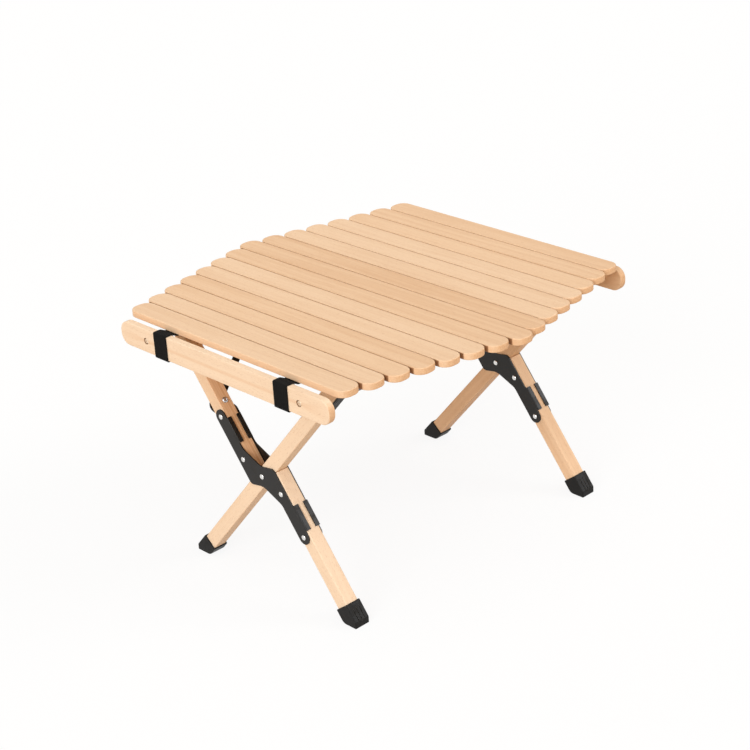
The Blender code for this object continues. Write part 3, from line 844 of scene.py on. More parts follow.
@dataclass
class Finishes:
    """All finishes of the table, each built once."""

    beech: Material
    webbing: Material
    coated_steel: Material
    bright_steel: Material
    zinc_steel: Material
    bronzed_steel: Material
    plastic: Material

    @classmethod
    def build(cls) -> Finishes:
        """Build the effects and then the finishes that use them.

        Returns:
            The finishes.
        """
        figure, wear, grit = timber_figure(), edge_mask(), fine_grit()
        return cls(
            Beech("oiled_beech", figure=figure, wear=wear).build(),
            Webbing("black_webbing").build(),
            CoatedSteel("coated_steel", grit=grit, wear=wear).build(),
            BrightSteel("bright_steel", grit=grit).build(),
            BrightSteel("zinc_steel", grit=grit, **ZINC).build(),
            BrightSteel("bronzed_steel", grit=grit, **BRONZED).build(),
            MouldedPlastic("moulded_plastic", grit=grit, wear=wear).build(),
        )


# The table


@dataclass(frozen=True)
class Stock:
    """The piece of beech that a part is cut from, with its grain along the part's X.

    The sides are how much of the cut ends' colour shows on faces towards Y and Z; on the legs'
    flanks it is painted shade.
    """

    tone: float
    seed: float
    sides: Point = (0.0, 0.0)
    seed_steps: Corner = (3.1, 1.7, 1.0)
    end_facing: Point = (0.55, 0.92)
    end_share: float = 0.85

    def mark(self, mesh: Mesh, painted_crevice_shade: Callable[[Vector], float] | None = None) -> Mesh:
        """Store on a part the stock's tone, its grain's coordinates and how much end colour it
        shows, which on the legs' flanks is painted shade.

        Args:
            mesh: The part's mesh, before it is put in place.
            painted_crevice_shade: Share of painted shade that a close gap lays on the wood at a
                point.

        Returns:
            The same mesh.
        """
        shift = self.seed * Vector(self.seed_steps)
        places = mesh.attributes.new("grain_place", "FLOAT_VECTOR", "POINT")
        flat = [value for vert in mesh.vertices for value in vert.co + shift]
        places.data.foreach_set("vector", flat)
        start, full = self.end_facing
        ends = []
        for normal in (vert.normal for vert in mesh.vertices):
            across = min(max((abs(normal.x) - start) / (full - start), 0.0), 1.0)
            facing = (self.sides[0] * abs(normal.y), self.sides[1] * abs(normal.z))
            ends.append(max(self.end_share * across, *facing))
        for name, values in (
            ("cut_end", ends),
            ("stock_tone", [self.tone] * len(ends)),
            ("painted_crevice_shade", [painted_crevice_shade(vert.co) if painted_crevice_shade else 0.0 for vert in mesh.vertices]),
        ):
            mesh.attributes.new(name, "FLOAT", "POINT").data.foreach_set("value", values)
        return mesh


@dataclass
class SlatTop:
    """The fifteen slats of the roll-up top."""

    finishes: Finishes
    count: int = 15
    middle: int = 8
    end_radius: float = 0.0165
    arris: float = 0.0016
    plain_tones: tuple[float, ...] = (-0.09, -0.11, -0.12, 0.01, 0.11)
    flank: float = 0.35
    # Strength of the painted shade in the gaps between slats.
    crevice_shade_share: float = 0.95
    deep_tones: dict[int, float] = field(
        default_factory=lambda: {7: 0.11, 8: 0.18, 9: 0.26, 15: 0.09}
    )
    seed_step: float = 0.37

    def body(self, number: int) -> str:
        """Name the body that carries a slat."""
        return "top_middle" if number == self.middle else "slat_%02d_body" % number

    def tone(self, number: int) -> float:
        """Give a slat's tone; the middle ones and the last are cut from deeper stock."""
        return self.deep_tones.get(number, self.plain_tones[number % len(self.plain_tones)])

    def build(self) -> None:
        """Build the slats, each in the space of its solid."""
        for number in range(1, self.count + 1):
            node = "slat_%02d" % number
            low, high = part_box(node)
            outline = rounded_box((low.x, low.y), (high.x, high.y), self.end_radius)
            mesh = prism(outline, low.z, high.z, Plane.XY, self.arris)
            wood = Stock(self.tone(number), number * self.seed_step, (self.flank, 0.0))
            wood.mark(mesh, self.painted_crevice_shade(number, low, high))
            fitting = Fitting(self.body(number), "beech", (node,))
            piece("top_" + node, mesh, self.finishes.beech, fitting)

    def painted_crevice_shade(self, number: int, low: Vector, high: Vector) -> Callable[[Vector], float]:
        """Paint the shade that the gaps beside a slat cast on its sides.

        Args:
            number: The slat's number.
            low: Lower corner of its box.
            high: Upper corner of its box.

        Returns:
            A function from a point to its painted shade.
        """
        middle = (low.y + high.y) / 2
        straight = high.x - self.end_radius + 2 * MILLIMETRE

        def darkness(point: Vector) -> float:
            """Give one point's painted shade, which grows down the arris beside a neighbour."""
            beside = number + (1 if point.y > middle else -1)
            edge = high.y - abs(point.y - middle) - middle
            if not 1 <= beside <= self.count or abs(point.x) > straight or edge > self.arris:
                return 0.0
            depth = min(max((high.z - point.z) / self.arris, 0.0), 1.0)
            return self.crevice_shade_share * depth

        return darkness


# A fastener's head from its middle outwards, in shares of its radius and its height
PLAIN_CROWN = ((0.0, 1.0), (0.22, 0.99), (0.42, 0.96))
RECESSED_CROWN = ((0.0, 0.55), (0.36, 0.55), (0.42, 0.98))
RECESS_RINGS = (1, 2)
HEAD_SIDE = ((0.60, 0.93), (0.80, 0.72), (0.94, 0.42), (1.0, 0.16), (1.0, 0.0))


def screw_mesh(
    head_radius: float, head_height: float, shaft: float, length: float, drive: Drive
) -> Mesh:
    """Turn a fastener whose heads sit at both ends of local Z.

    Args:
        head_radius: Radius of each head.
        head_height: How far a head rises.
        shaft: Radius of the shaft.
        length: Distance between the heads' seats.
        drive: Recess in the heads.

    Returns:
        The fastener's mesh, centred on its length.
    """
    half, plain = length / 2, drive is Drive.PLAIN
    shares = (PLAIN_CROWN if plain else RECESSED_CROWN) + HEAD_SIDE
    dome = [(head_radius * out, head_height * up) for out, up in shares] + [(shaft, 0.0)]
    profile = [(r, half + z) for r, z in dome] + [(r, -half - z) for r, z in reversed(dome)]
    last, rings = len(profile) - 1, () if plain else RECESS_RINGS
    return turned(profile, SCREW_STEPS, drive, rings + tuple(last - index for index in rings))


@dataclass
class EndBoards:
    """The two upright end boards with their cross-head screws."""

    finishes: Finishes
    end_radius: float = 0.0175
    arris: float = 0.0016
    # Stock tone of each board; the far board's deeper tone is painted shade.
    tones_and_painted_shade: tuple[float, float] = (-0.42, 0.35)
    seed: float = 7.3
    screw_radius: float = 0.0044
    shaft_radius: float = 0.002
    screw_recess: float = 0.0004
    hole_radius: float = 0.0053
    # Strength of the painted shade on the screw holes' walls.
    hole_shade: float = 0.6
    hole_margin: float = 0.0002
    wall_facing: float = 0.3
    head_height: float = 0.0012

    def build(self) -> None:
        """Build both boards and their screws."""
        for number, (end, _) in enumerate(ENDS):
            node = "end_board_" + end
            low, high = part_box(node)
            middle, depth = (low.y + high.y) / 2, high.y - low.y
            spots = {}
            for side in ("left", "right"):
                first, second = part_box("end_board_screw_%s_%s" % (end, side))
                spot = (first + second) / 2
                spots[side] = Vector((spot.x, middle, spot.z))
            outline = rounded_box((low.x, low.z), (high.x, high.z), self.end_radius)
            board = prism(outline, low.y, high.y, Plane.XZ, self.arris)
            board = carved(board, joined([self.hole(depth, spot) for spot in spots.values()]))
            Stock(self.tones_and_painted_shade[number], self.seed + number).mark(board)
            self.shade_holes(board, list(spots.values()))
            fitting = Fitting(node + "_body", "beech", (node,))
            piece("board_" + end, board, self.finishes.beech, fitting)
            sizes = (self.screw_radius, self.head_height, self.shaft_radius)
            length = depth - 2 * (self.screw_recess + self.head_height)
            for side, spot in spots.items():
                mesh = screw_mesh(*sizes, length, Drive.CROSS)
                mesh.transform(Matrix.Translation(spot) @ ACROSS_Y)
                solid = "end_board_screw_%s_%s" % (end, side)
                fitting = Fitting(node + "_body", "bright_steel", (solid,))
                piece(solid.replace("end_", "", 1), mesh, self.finishes.bronzed_steel, fitting)

    def hole(self, depth: float, spot: Vector) -> Mesh:
        """Turn the cutter of a screw's hole.

        Args:
            depth: The board's thickness.
            spot: The hole's middle.

        Returns:
            The cutter, in place.
        """
        radius, reach = self.hole_radius, depth / 2 + MILLIMETRE
        profile = [(0.0, reach), (radius, reach), (radius, -reach), (0.0, -reach)]
        cutter = turned(profile, HOLE_STEPS)
        cutter.transform(Matrix.Translation(spot) @ ACROSS_Y)
        return cutter

    def shade_holes(self, board: Mesh, spots: Sequence[Vector]) -> None:
        """Paint shade on the walls of a board's screw holes, as in close gaps.

        Args:
            board: The board's mesh, in place.
            spots: The middles of its screws.
        """
        board.attributes.remove(board.attributes["painted_crevice_shade"])
        limit, values = self.hole_radius + self.hole_margin, []
        for face in board.polygons:
            reach = min(math.hypot(face.center.x - at.x, face.center.z - at.z) for at in spots)
            wall = abs(face.normal.y) < self.wall_facing and reach < limit
            values.append(self.hole_shade if wall else 0.0)
        marks = board.attributes.new("painted_crevice_shade", "FLOAT", "FACE")
        marks.data.foreach_set("value", values)


@dataclass
class Straps:
    """The two webbing straps, in a stretch for each hinge line of the top.

    A loop's end stops a little over one thickness below the run that it meets.
    """

    finishes: Finishes
    thickness: float = 0.0015
    edge_share: float = 0.32
    slat_pitch: float = 0.040
    slat_count: int = SlatTop.count
    fold: float = 0.0035
    corner: float = 0.0022
    step: float = 0.002
    gap: float = 0.0003
    run_end: float = 0.2998
    lead: float = 0.002
    first_bend: float = 0.0014
    edge_bend: float = 0.0018
    end_drop: float = 1.05
    board_bend_end: float = 0.0016
    run_bend_height: float = 0.395
    end_bend_height: float = 0.396

    def widths(self) -> list[tuple[str, float, float]]:
        """List the straps' names with their middle along X and their width."""
        boxes = {name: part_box("strap_" + name) for name in ("left", "right")}
        return [(name, (a.x + b.x) / 2, b.x - a.x) for name, (a, b) in boxes.items()]

    def band(self, path: Sequence[Point], middle: float, width: float, start_run: float) -> Mesh:
        """Sweep a strap's flat section along a path.

        Args:
            path: The strap's middle line in (y, z).
            middle: Its place along X.
            width: Its width.
            start_run: Length of strap before this stretch.

        Returns:
            The stretch's mesh, with its weave's coordinates.
        """
        half, thick = width / 2, self.thickness / 2
        soft = self.edge_share * self.thickness
        corner = [(-half, -thick + soft), (-half + soft, -thick)]
        lower = corner + [(-x, lift) for x, lift in reversed(corner)]
        section = lower + [(-x, -lift) for x, lift in lower]
        bm = bmesh.new()
        run_layer = bm.verts.layers.float.new("strap_run")
        across_layer = bm.verts.layers.float.new("strap_across")
        rings, run = [], start_run
        for index, (y, z) in enumerate(path):
            here = Vector((y, z))
            before = Vector(path[max(index - 1, 0)])
            after = Vector(path[min(index + 1, len(path) - 1)])
            along = (after - before).normalized()
            outward = Vector((-along.y, along.x))
            if index:
                run += (here - before).length
            ring = []
            for x, lift in section:
                spot = here + outward * lift
                vert = bm.verts.new((middle + x, spot.x, spot.y))
                vert[run_layer], vert[across_layer] = run, x
                ring.append(vert)
            rings.append(ring)
        for first, second in zip(rings, rings[1:]):
            for index in range(len(section)):
                after = (index + 1) % len(section)
                bm.faces.new((first[index], first[after], second[after], second[index]))
        bm.faces.new(rings[0][::-1])
        bm.faces.new(rings[-1])
        return closed_mesh(bm)

    def flat_path(self, start: float, end: float, height: float) -> list[Point]:
        """Divide a level stretch of a strap's middle line into short steps."""
        count = max(2, round(abs(end - start) / self.step))
        return [(start + (end - start) * index / count, height) for index in range(count + 1)]

    def loop_path(self, end: str, height: float) -> list[Point]:
        """Lead a strap from under the last slat round its end board.

        Args:
            end: The board's end of the table.
            height: Height of the strap's middle line under the slats.

        Returns:
            The path's points, with places along Y counted outwards.
        """
        inner, outer, low, high = board_faces(end)
        off = self.thickness / 2 + self.gap
        top, bottom = high + off, low - off
        back = inner - off
        rise = (top - height) * (back - self.run_end) / (inner - self.run_end)
        bends = [
            (self.run_end - self.lead, height, 0.0),
            (self.run_end, height, self.first_bend),
            (inner, top, self.edge_bend),
            (outer + off, top, self.corner),
            (outer + off, bottom, self.corner),
            (back, bottom, self.corner),
            (back, height + rise - self.end_drop * self.thickness, 0.0),
        ]
        start = (self.slat_count // 2) * self.slat_pitch
        run = self.flat_path(start, bends[0][0], height)
        return run[:-1] + spaced(rounded_open(bends, BEND_STEPS), self.step)

    def build(self) -> None:
        """Build every stretch of the two straps, one piece for each hinge line."""
        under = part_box("slat_%02d" % SlatTop.middle)[0].z - self.gap - self.thickness / 2
        straps, body = self.widths(), SlatTop(self.finishes).body
        before_middle = self.slat_count // 2
        for number in range(1, self.slat_count):
            start = (number - before_middle - 1) * self.slat_pitch
            end = start + self.slat_pitch
            path, hinge = self.flat_path(start, end, under), (start + end) / 2
            self.fit(
                "strap_run_%02d_%02d" % (number, number + 1),
                [self.band(path, x, width, start) for _, x, width in straps],
                (body(number), body(number + 1)),
                self.run_bend_height,
            )
        for (end, sign), slat in zip(ENDS, (1, self.slat_count)):
            path = [(sign * y, z) for y, z in self.loop_path(end, under)]
            start = before_middle * self.slat_pitch
            bend_end = board_faces(end)[0] - self.board_bend_end
            self.fit(
                "strap_end_" + end,
                [self.band(path, x, width, start) for _, x, width in straps],
                (body(slat), "end_board_%s_body" % end),
                self.end_bend_height,
            )

    def fit(
        self,
        name: str,
        bands: Sequence[Mesh],
        bodies: tuple[str, str],
        height: float,
    ) -> None:
        """Make one piece of all straps' stretches and bake its place into its mesh.

        Args:
            name: The piece's name.
            bands: The stretch of each strap.
            bodies: Not used.
            height: Not used.
        """
        names = tuple("strap_" + strap for strap, _, _ in self.widths())
        fitting = Fitting("", "webbing", names)
        made = piece(name, joined(bands), self.finishes.webbing, fitting)
        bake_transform(made)


def board_faces(end: str) -> tuple[float, float, float, float]:
    """Find a board's inner and outer face, counted outwards, and its lower and upper edge."""
    low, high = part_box("end_board_" + end)
    return (*sorted((abs(low.y), abs(high.y))), low.z, high.z)


NEAR_HALF = 0.49
LEAST_STEP = 1e-6
STEP_SLACK = 1.5


def rounded_open(corners: Sequence[Corner], steps: int) -> list[Point]:
    """Round the inner corners of an open line.

    Args:
        corners: Corners as (a, b, radius); the two ends aren't rounded.
        steps: Segments in each rounded corner.

    Returns:
        The line's points.
    """
    points = [corners[0][:2]]
    for before, here, after in zip(corners, corners[1:], corners[2:]):
        spot = Vector(here[:2])
        back = Vector(before[:2]) - spot
        on = Vector(after[:2]) - spot
        reach = min(here[2], back.length * NEAR_HALF, on.length * NEAR_HALF)
        start, end = spot + back.normalized() * reach, spot + on.normalized() * reach
        for step in range(steps + 1):
            on_share, back_share = step / steps, 1 - step / steps
            sweep = start * back_share**2 + spot * 2 * on_share * back_share
            points.append(tuple(sweep + end * on_share**2))
    points.append(corners[-1][:2])
    return points


def spaced(line: Sequence[Point], step: float) -> list[Point]:
    """Divide the long parts of a line.

    Args:
        line: The line's points.
        step: Usual length of a part; one longer by a slack is divided.

    Returns:
        The line with more points.
    """
    made = [line[0]]
    for first, second in zip(line, line[1:]):
        length = math.dist(first, second)
        if length < LEAST_STEP:
            continue
        count = max(1, math.ceil(length / (step * STEP_SLACK)))
        for share in (index / count for index in range(1, count + 1)):
            made.append(tuple(a + (b - a) * share for a, b in zip(first, second)))
    return made


@dataclass(frozen=True)
class LegSide:
    """One of the two sets of legs: its lean, its bars' places and its upper bolts' drop."""

    key: str
    body: str
    lean: float
    upper: float
    lower: float
    outer: float
    bolt_drop: float


@dataclass
class LegGeometry:
    """Where the crossing legs lie, and what their plates, caps, rails and bolts share."""

    finishes: Finishes
    pivot_x: float = 0.017
    pivot_height: float = 0.1922
    place: float = 0.26025
    width: float = 0.024
    depth: float = 0.023
    gap: float = 0.0003
    crossing_gap: float = 0.0004
    deck: float = 0.3957
    arris: float = 0.0017
    full_lean: float = math.radians(41.2)
    split_lean: float = math.radians(37.3)
    full_bolt_drop: float = 0.068
    split_bolt_drop: float = 0.1444
    cap_floor: float = 0.0042
    rail_depth: float = 0.034
    flat_thickness: float = 0.0025
    bolt_head: float = 0.0048
    bolt_rise: float = 0.0022
    bolt_shaft: float = 0.0028

    def __post_init__(self) -> None:
        """Work out the two sides."""
        over = self.width + self.crossing_gap
        full = (self.full_lean, 0.0, 0.0, -1.0, self.full_bolt_drop)
        split = (-self.split_lean, -over, over, 1.0, self.split_bolt_drop)
        self.full = LegSide("full", "full_frame", *full)
        self.split = LegSide("split", "split_frame", *split)

    def level(self, side: LegSide, across: float, height: float) -> float:
        """Find how far along a leg from the pivot a level plane lies, at a place across it."""
        rise = height - self.pivot_height + across * math.sin(side.lean)
        return rise / math.cos(side.lean)

    def bar_top(self, side: LegSide) -> float:
        """Find how far along its leg the middle of a leg's top lies."""
        return self.level(side, side.upper, self.deck)

    def leg_matrix(self, side: LegSide, sign: float) -> Matrix:
        """Place a leg whose own X runs along it, Y along the table and Z across it.

        Args:
            side: The leg's side.
            sign: Which frame, along Y.

        Returns:
            The leg's place.
        """
        sine, cosine = math.sin(side.lean), math.cos(side.lean)
        origin = (self.pivot_x, sign * self.place, self.pivot_height)
        return placed(((sine, 0.0, cosine), (0.0, 1.0, 0.0), (-cosine, 0.0, sine)), origin)

    def rail_matrix(self, side: LegSide) -> Matrix:
        """Place a rail whose own X runs along Y, Y along the legs and Z across them.

        Args:
            side: The rail's side.

        Returns:
            The rail's place.
        """
        sine, cosine = math.sin(side.lean), math.cos(side.lean)
        origin = (self.pivot_x, 0.0, self.pivot_height)
        return placed(((0.0, 1.0, 0.0), (sine, 0.0, cosine), (cosine, 0.0, -sine)), origin)

    def leg_bolt(self, side: LegSide, sign: float) -> Point:
        """Place a leg's upper bolt, along the table and along the leg."""
        return (sign * self.place, self.bar_top(side) - side.bolt_drop)

    def flat_faces(self, side: LegSide) -> tuple[float, float]:
        """Find the seat and the face of a flat steel piece on a leg's flank.

        Args:
            side: The leg's side.

        Returns:
            Their places across the leg.
        """
        seat = self.width / 2 + self.gap
        flank = -side.outer
        return (side.upper + flank * seat, side.upper + flank * (seat + self.flat_thickness))

    def build_bolt(self, node: str, side: LegSide, spot: Point) -> None:
        """Build a bolt through a flat steel piece and the wood behind it.

        Args:
            node: The bolt's solid.
            side: Its leg's side.
            spot: Its place along the table and along the leg.
        """
        flank = -side.outer
        head = self.flat_faces(side)[1] + flank * self.gap
        seat = side.upper - flank * (self.width / 2 + self.gap)
        length = abs(head - seat)
        bolt = screw_mesh(self.bolt_head, self.bolt_rise, self.bolt_shaft, length, Drive.HEX)
        bolt.transform(Matrix.Translation((*spot, (head + seat) / 2)))
        fitting = Fitting(side.body, "bright_steel", (node,), self.rail_matrix(side))
        piece(node + "_socket_head", bolt, self.finishes.zinc_steel, fitting)


def along_first(outline: Sequence[Point]) -> list[Point]:
    """Turn an outline's points (across, along) into a leg's own X and Z."""
    return [(along, -across) for across, along in outline]


def bar_outline(
    low: float, high: float, start: Callable[[float], float], end: Callable[[float], float]
) -> list[Point]:
    """Draw a bar between two flanks, with each end cut by a rule from across to along."""
    return [(low, start(low)), (high, start(high)), (high, end(high)), (low, end(low))]


@dataclass
class Legs(LegGeometry):
    """The full legs and the halves of the split legs."""

    seed: float = 11.0
    seed_step: float = 2.3
    # Each bar's stock tone and flank share; the far full bar's deeper tone and the flank shares
    # paint the shade under the top, fully on the upper near half.
    tones_and_painted_shade: dict[str, Point] = field(
        default_factory=lambda: {
            "leg_full_near": (-0.36, 0.0),
            "leg_full_far": (0.30, 0.2),
            "leg_split_upper_near": (-0.10, 1.0),
            "leg_split_upper_far": (-0.05, 0.1),
            "leg_split_lower_near": (-0.40, 0.0),
            "leg_split_lower_far": (0.06, 0.0),
        }
    )

    def crossing_edge(self, across: float) -> float:
        """Find where along its leg a split leg's half ends beside the full leg."""
        turn = self.full_lean + self.split_lean
        return (self.width / 2 + self.gap + across * math.cos(turn)) / math.sin(turn)

    def outlines(self) -> dict[str, tuple[LegSide, list[Point]]]:
        """Draw the bars.

        Returns:
            Each bar's side and its outline as points (across, along), by its name.
        """
        full, split = self.full, self.split
        half, floor = self.width / 2, self.cap_floor + self.gap
        feet = [self.level(side, side.lower - side.outer * half, floor) for side in (full, split)]
        low, high = split.upper - half, split.upper + half
        whole = bar_outline(
            -half, half, lambda _: feet[0], lambda across: self.level(full, across, self.deck)
        )
        upper = bar_outline(
            low, high, self.crossing_edge, lambda across: self.level(split, across, self.deck)
        )
        lower = bar_outline(
            -low, -high, lambda across: -self.crossing_edge(-across), lambda _: feet[1]
        )
        return {
            "leg_full": (full, whole),
            "leg_split_upper": (split, upper),
            "leg_split_lower": (split, lower),
        }

    def build(self) -> None:
        """Build the bars, with their grain along them."""
        half = self.depth / 2
        for number, (name, (side, outline)) in enumerate(self.outlines().items()):
            for end, sign in ENDS:
                node = "%s_%s" % (name, end)
                # The flank share lays end colour on the bar's flanks as painted shade.
                tone, flank = self.tones_and_painted_shade[node]
                stock = Stock(tone, self.seed + number * self.seed_step + sign, (0.0, flank))
                mesh = prism(along_first(outline), -half, half, Plane.XZ, self.arris)
                fitting = Fitting(side.body, "beech", (node,), self.leg_matrix(side, sign))
                name_shown = node.replace("leg", "bar", 1)
                piece(name_shown, stock.mark(mesh), self.finishes.beech, fitting)


@dataclass
class ScissorPlates(LegGeometry):
    """The scissor plates with their rivets and pivot pins."""

    plate_thickness: float = 0.002
    rivet_outer: float = 0.1100
    rivet_inner: float = 0.0373
    rivet_offset: float = 0.0231
    arm_half: float = 0.0113
    arm_round_share: float = 0.98
    shoulder: float = 0.0005
    shoulder_round: float = 0.009
    waist: Corner = (0.0089, 0.0138, 0.025)
    arm_start: float = 0.0517
    arm_start_round: float = 0.018
    lip_start: float = 0.0615
    lip_length: float = 0.042
    lip_depth: float = 0.0085
    lip_root: float = 0.004
    lip_bend: float = 0.0016
    ease: float = 0.00035
    rivet_head: float = 0.0042
    rivet_rise: float = 0.0015
    rivet_shaft: float = 0.0022

    def plate_outline(self) -> list[Point]:
        """Draw a scissor plate: two offset arms round a bent middle.

        Returns:
            Points (across, along).
        """
        left, right = -self.rivet_offset - self.arm_half, -self.rivet_offset + self.arm_half
        top, end = self.rivet_outer + self.arm_half, self.arm_half * self.arm_round_share
        half = [
            (right, top, end),
            (left, top, end),
            (left, -self.shoulder, self.shoulder_round),
            (-self.waist[0], -self.waist[1], self.waist[2]),
            (-right, -self.arm_start, self.arm_start_round),
        ]
        return rounded_outline(half + [(-a, -b, radius) for a, b, radius in half])

    def plate_mesh(self, sign: float) -> Mesh:
        """Press a scissor plate with its two folded lips.

        Args:
            sign: Which face of the legs it lies on.

        Returns:
            The plate in its leg's coordinates.
        """
        seat = self.depth / 2 + self.gap
        face = seat + self.plate_thickness
        low, high = sorted((sign * seat, sign * face))
        plate = prism(along_first(self.plate_outline()), low, high, Plane.XZ)
        lip_end = self.lip_start + self.lip_length
        spans = ((self.lip_start, lip_end), (-lip_end, -self.lip_start))
        skin = self.gap / 3
        lips = []
        for middle, span in zip((self.split.upper, self.split.lower), spans):
            wall = middle + self.width / 2 + self.gap
            outer = wall + self.plate_thickness
            arm = math.copysign(self.rivet_offset, middle) + self.arm_half
            root = min(arm, wall) - self.lip_root
            tip = face - self.lip_depth
            section = [
                (sign * (face - skin), -root, 0.0),
                (sign * (face - skin), -outer, self.lip_bend),
                (sign * tip, -outer, 0.0),
                (sign * tip, -wall, 0.0),
                (sign * (seat + skin), -wall, 0.0),
                (sign * (seat + skin), -root, 0.0),
            ]
            lips.append(prism(rounded_outline(section, SMALL_STEPS), *span, Plane.YZ))
        return carved(plate, joined(lips), "UNION", self.ease)

    def fasteners(self, end: str) -> list[tuple[str, float, float]]:
        """List a frame's rivets, upper ones first, and its pivot pin.

        Args:
            end: The frame's end of the table.

        Returns:
            Node, place across and place along the split leg.
        """
        upper = [(-self.rivet_offset, self.rivet_outer), (-self.rivet_offset, self.rivet_inner)]
        places = upper + [(-across, -along) for across, along in reversed(upper)]
        rivets = [("scissor_rivet_%s_%d" % (end, n), *at) for n, at in enumerate(places, 1)]
        return rivets + [("pivot_pin_" + end, 0.0, 0.0)]

    def build(self) -> None:
        """Build the scissor plates, their rivets and the pivot pins."""
        body = self.split.body
        seat = self.depth / 2 + 2 * self.gap + self.plate_thickness
        sizes = (self.rivet_head, self.rivet_rise, self.rivet_shaft, 2 * seat)
        for end, frame_sign in ENDS:
            place = self.leg_matrix(self.split, frame_sign)
            for face, sign in (("front", -1.0), ("back", 1.0)):
                node = "scissor_plate_%s_%s" % (end, face)
                fitting = Fitting(body, "black_steel", (node,), place)
                name, mesh = node.replace("scissor", "steel", 1), self.plate_mesh(sign)
                piece(name, mesh, self.finishes.coated_steel, fitting)
            for node, across, along in self.fasteners(end):
                mesh = screw_mesh(*sizes, Drive.PLAIN)
                mesh.transform(Matrix.Translation((along, 0.0, -across)) @ ACROSS_Y)
                fitting = Fitting(body, "bright_steel", (node,), place)
                piece(node + "_domed", mesh, self.finishes.bright_steel, fitting)


@dataclass
class FootCaps(LegGeometry):
    """The four foot caps, level on the floor, with their sockets and grip grooves."""

    cap_wall: float = 0.0019
    cap_length: float = 0.044
    cap_tip: float = 0.0084
    cap_heel: float = 0.012
    toe_round: float = 0.0016
    nose_round: float = 0.0030
    cap_arris: float = 0.0013
    socket_over: float = 0.02
    groove_pitch: float = 0.0062
    groove_half: float = 0.0009
    groove_round: float = 0.00085
    groove_depth: float = 0.0009
    groove_over: float = 0.004
    groove_span: Point = (0.032, 0.008)
    ease: float = 0.0002

    def cap_outline(self, side: LegSide) -> list[Point]:
        """Draw a foot cap: square to the leg at its rim, level on the floor.

        Args:
            side: The leg's side.

        Returns:
            Points (across, along).
        """
        outer, lean = side.outer, side.lean
        reach = self.width / 2 + self.gap + self.cap_wall
        outside, inside = side.lower + outer * reach, side.lower - outer * reach
        toe = Vector((outside, self.level(side, outside, 0.0)))
        along_floor = Vector((math.cos(lean), math.sin(lean)))
        upward = Vector((-math.sin(lean), math.cos(lean)))
        blunt = toe - outer * self.cap_tip * along_floor
        nose = blunt + upward * (self.cap_tip / math.tan(abs(lean)))
        rim = toe.y + self.cap_length
        corners = [
            (inside, rim, 0.0),
            (inside, self.level(side, inside, 0.0), self.cap_heel),
            (blunt.x, blunt.y, self.toe_round),
            (nose.x, nose.y, self.nose_round),
            (outside, rim, 0.0),
        ]
        return rounded_outline(corners, CORNER_STEPS)

    def cuts(self, side: LegSide, rim: float) -> list[Mesh]:
        """Make what is cut out of a cap: its socket and three grooves outside.

        Args:
            side: The leg's side.
            rim: The cap's rim along the leg.

        Returns:
            The cutters.
        """
        wide, deep = self.width / 2 + self.gap, self.depth / 2 + self.gap
        inside = side.lower - side.outer * self.width / 2
        bottom = self.level(side, inside, self.cap_floor)
        low, high = (bottom, -side.lower - wide), (rim + self.socket_over, -side.lower + wide)
        made = [prism(rounded_box(low, high, 0.0), -deep, deep, Plane.XZ)]
        outside = side.lower + side.outer * (wide + self.cap_wall)
        faces = (-outside + side.outer * self.groove_depth, -outside - side.outer * self.groove_over)
        start, end = (rim - place for place in self.groove_span)
        for y in (index * self.groove_pitch for index in (-1, 0, 1)):
            low, high = (start, y - self.groove_half), (end, y + self.groove_half)
            groove = rounded_box(low, high, self.groove_round, SMALL_STEPS)
            made.append(prism(groove, *sorted(faces), Plane.XY))
        return made

    def build(self) -> None:
        """Build the four caps."""
        half = self.depth / 2 + self.gap + self.cap_wall
        for side in (self.full, self.split):
            outline = self.cap_outline(side)
            rim = max(along for _, along in outline)
            for end, sign in ENDS:
                node = "foot_cap_%s_%s" % (side.key, end)
                cap = prism(along_first(outline), -half, half, Plane.XZ, self.cap_arris, 4)
                mesh = carved(cap, joined(self.cuts(side, rim)), "DIFFERENCE", self.ease)
                fitting = Fitting(side.body, "black_plastic", (node,), self.leg_matrix(side, sign))
                piece(node.replace("foot", "moulded", 1), mesh, self.finishes.plastic, fitting)


@dataclass
class SideRails(LegGeometry):
    """The two side rails between the leg tops."""

    tone: float = 0.06
    seed: float = 21.0

    def build(self) -> None:
        """Build the rails."""
        reach = self.place - self.depth / 2 - self.gap
        for number, side in enumerate((self.full, self.split)):
            low, high = side.upper - self.width / 2, side.upper + self.width / 2
            bottom = self.bar_top(side) - self.rail_depth
            outline = [
                (bottom, low),
                (self.level(side, low, self.deck), low),
                (self.level(side, high, self.deck), high),
                (bottom, high),
            ]
            mesh = prism(outline, -reach, reach, Plane.YZ, self.arris)
            Stock(self.tone, self.seed + number).mark(mesh)
            node = "side_rail_" + side.key
            fitting = Fitting(side.body, "beech", (node,), self.rail_matrix(side))
            piece("rail_" + side.key, mesh, self.finishes.beech, fitting)


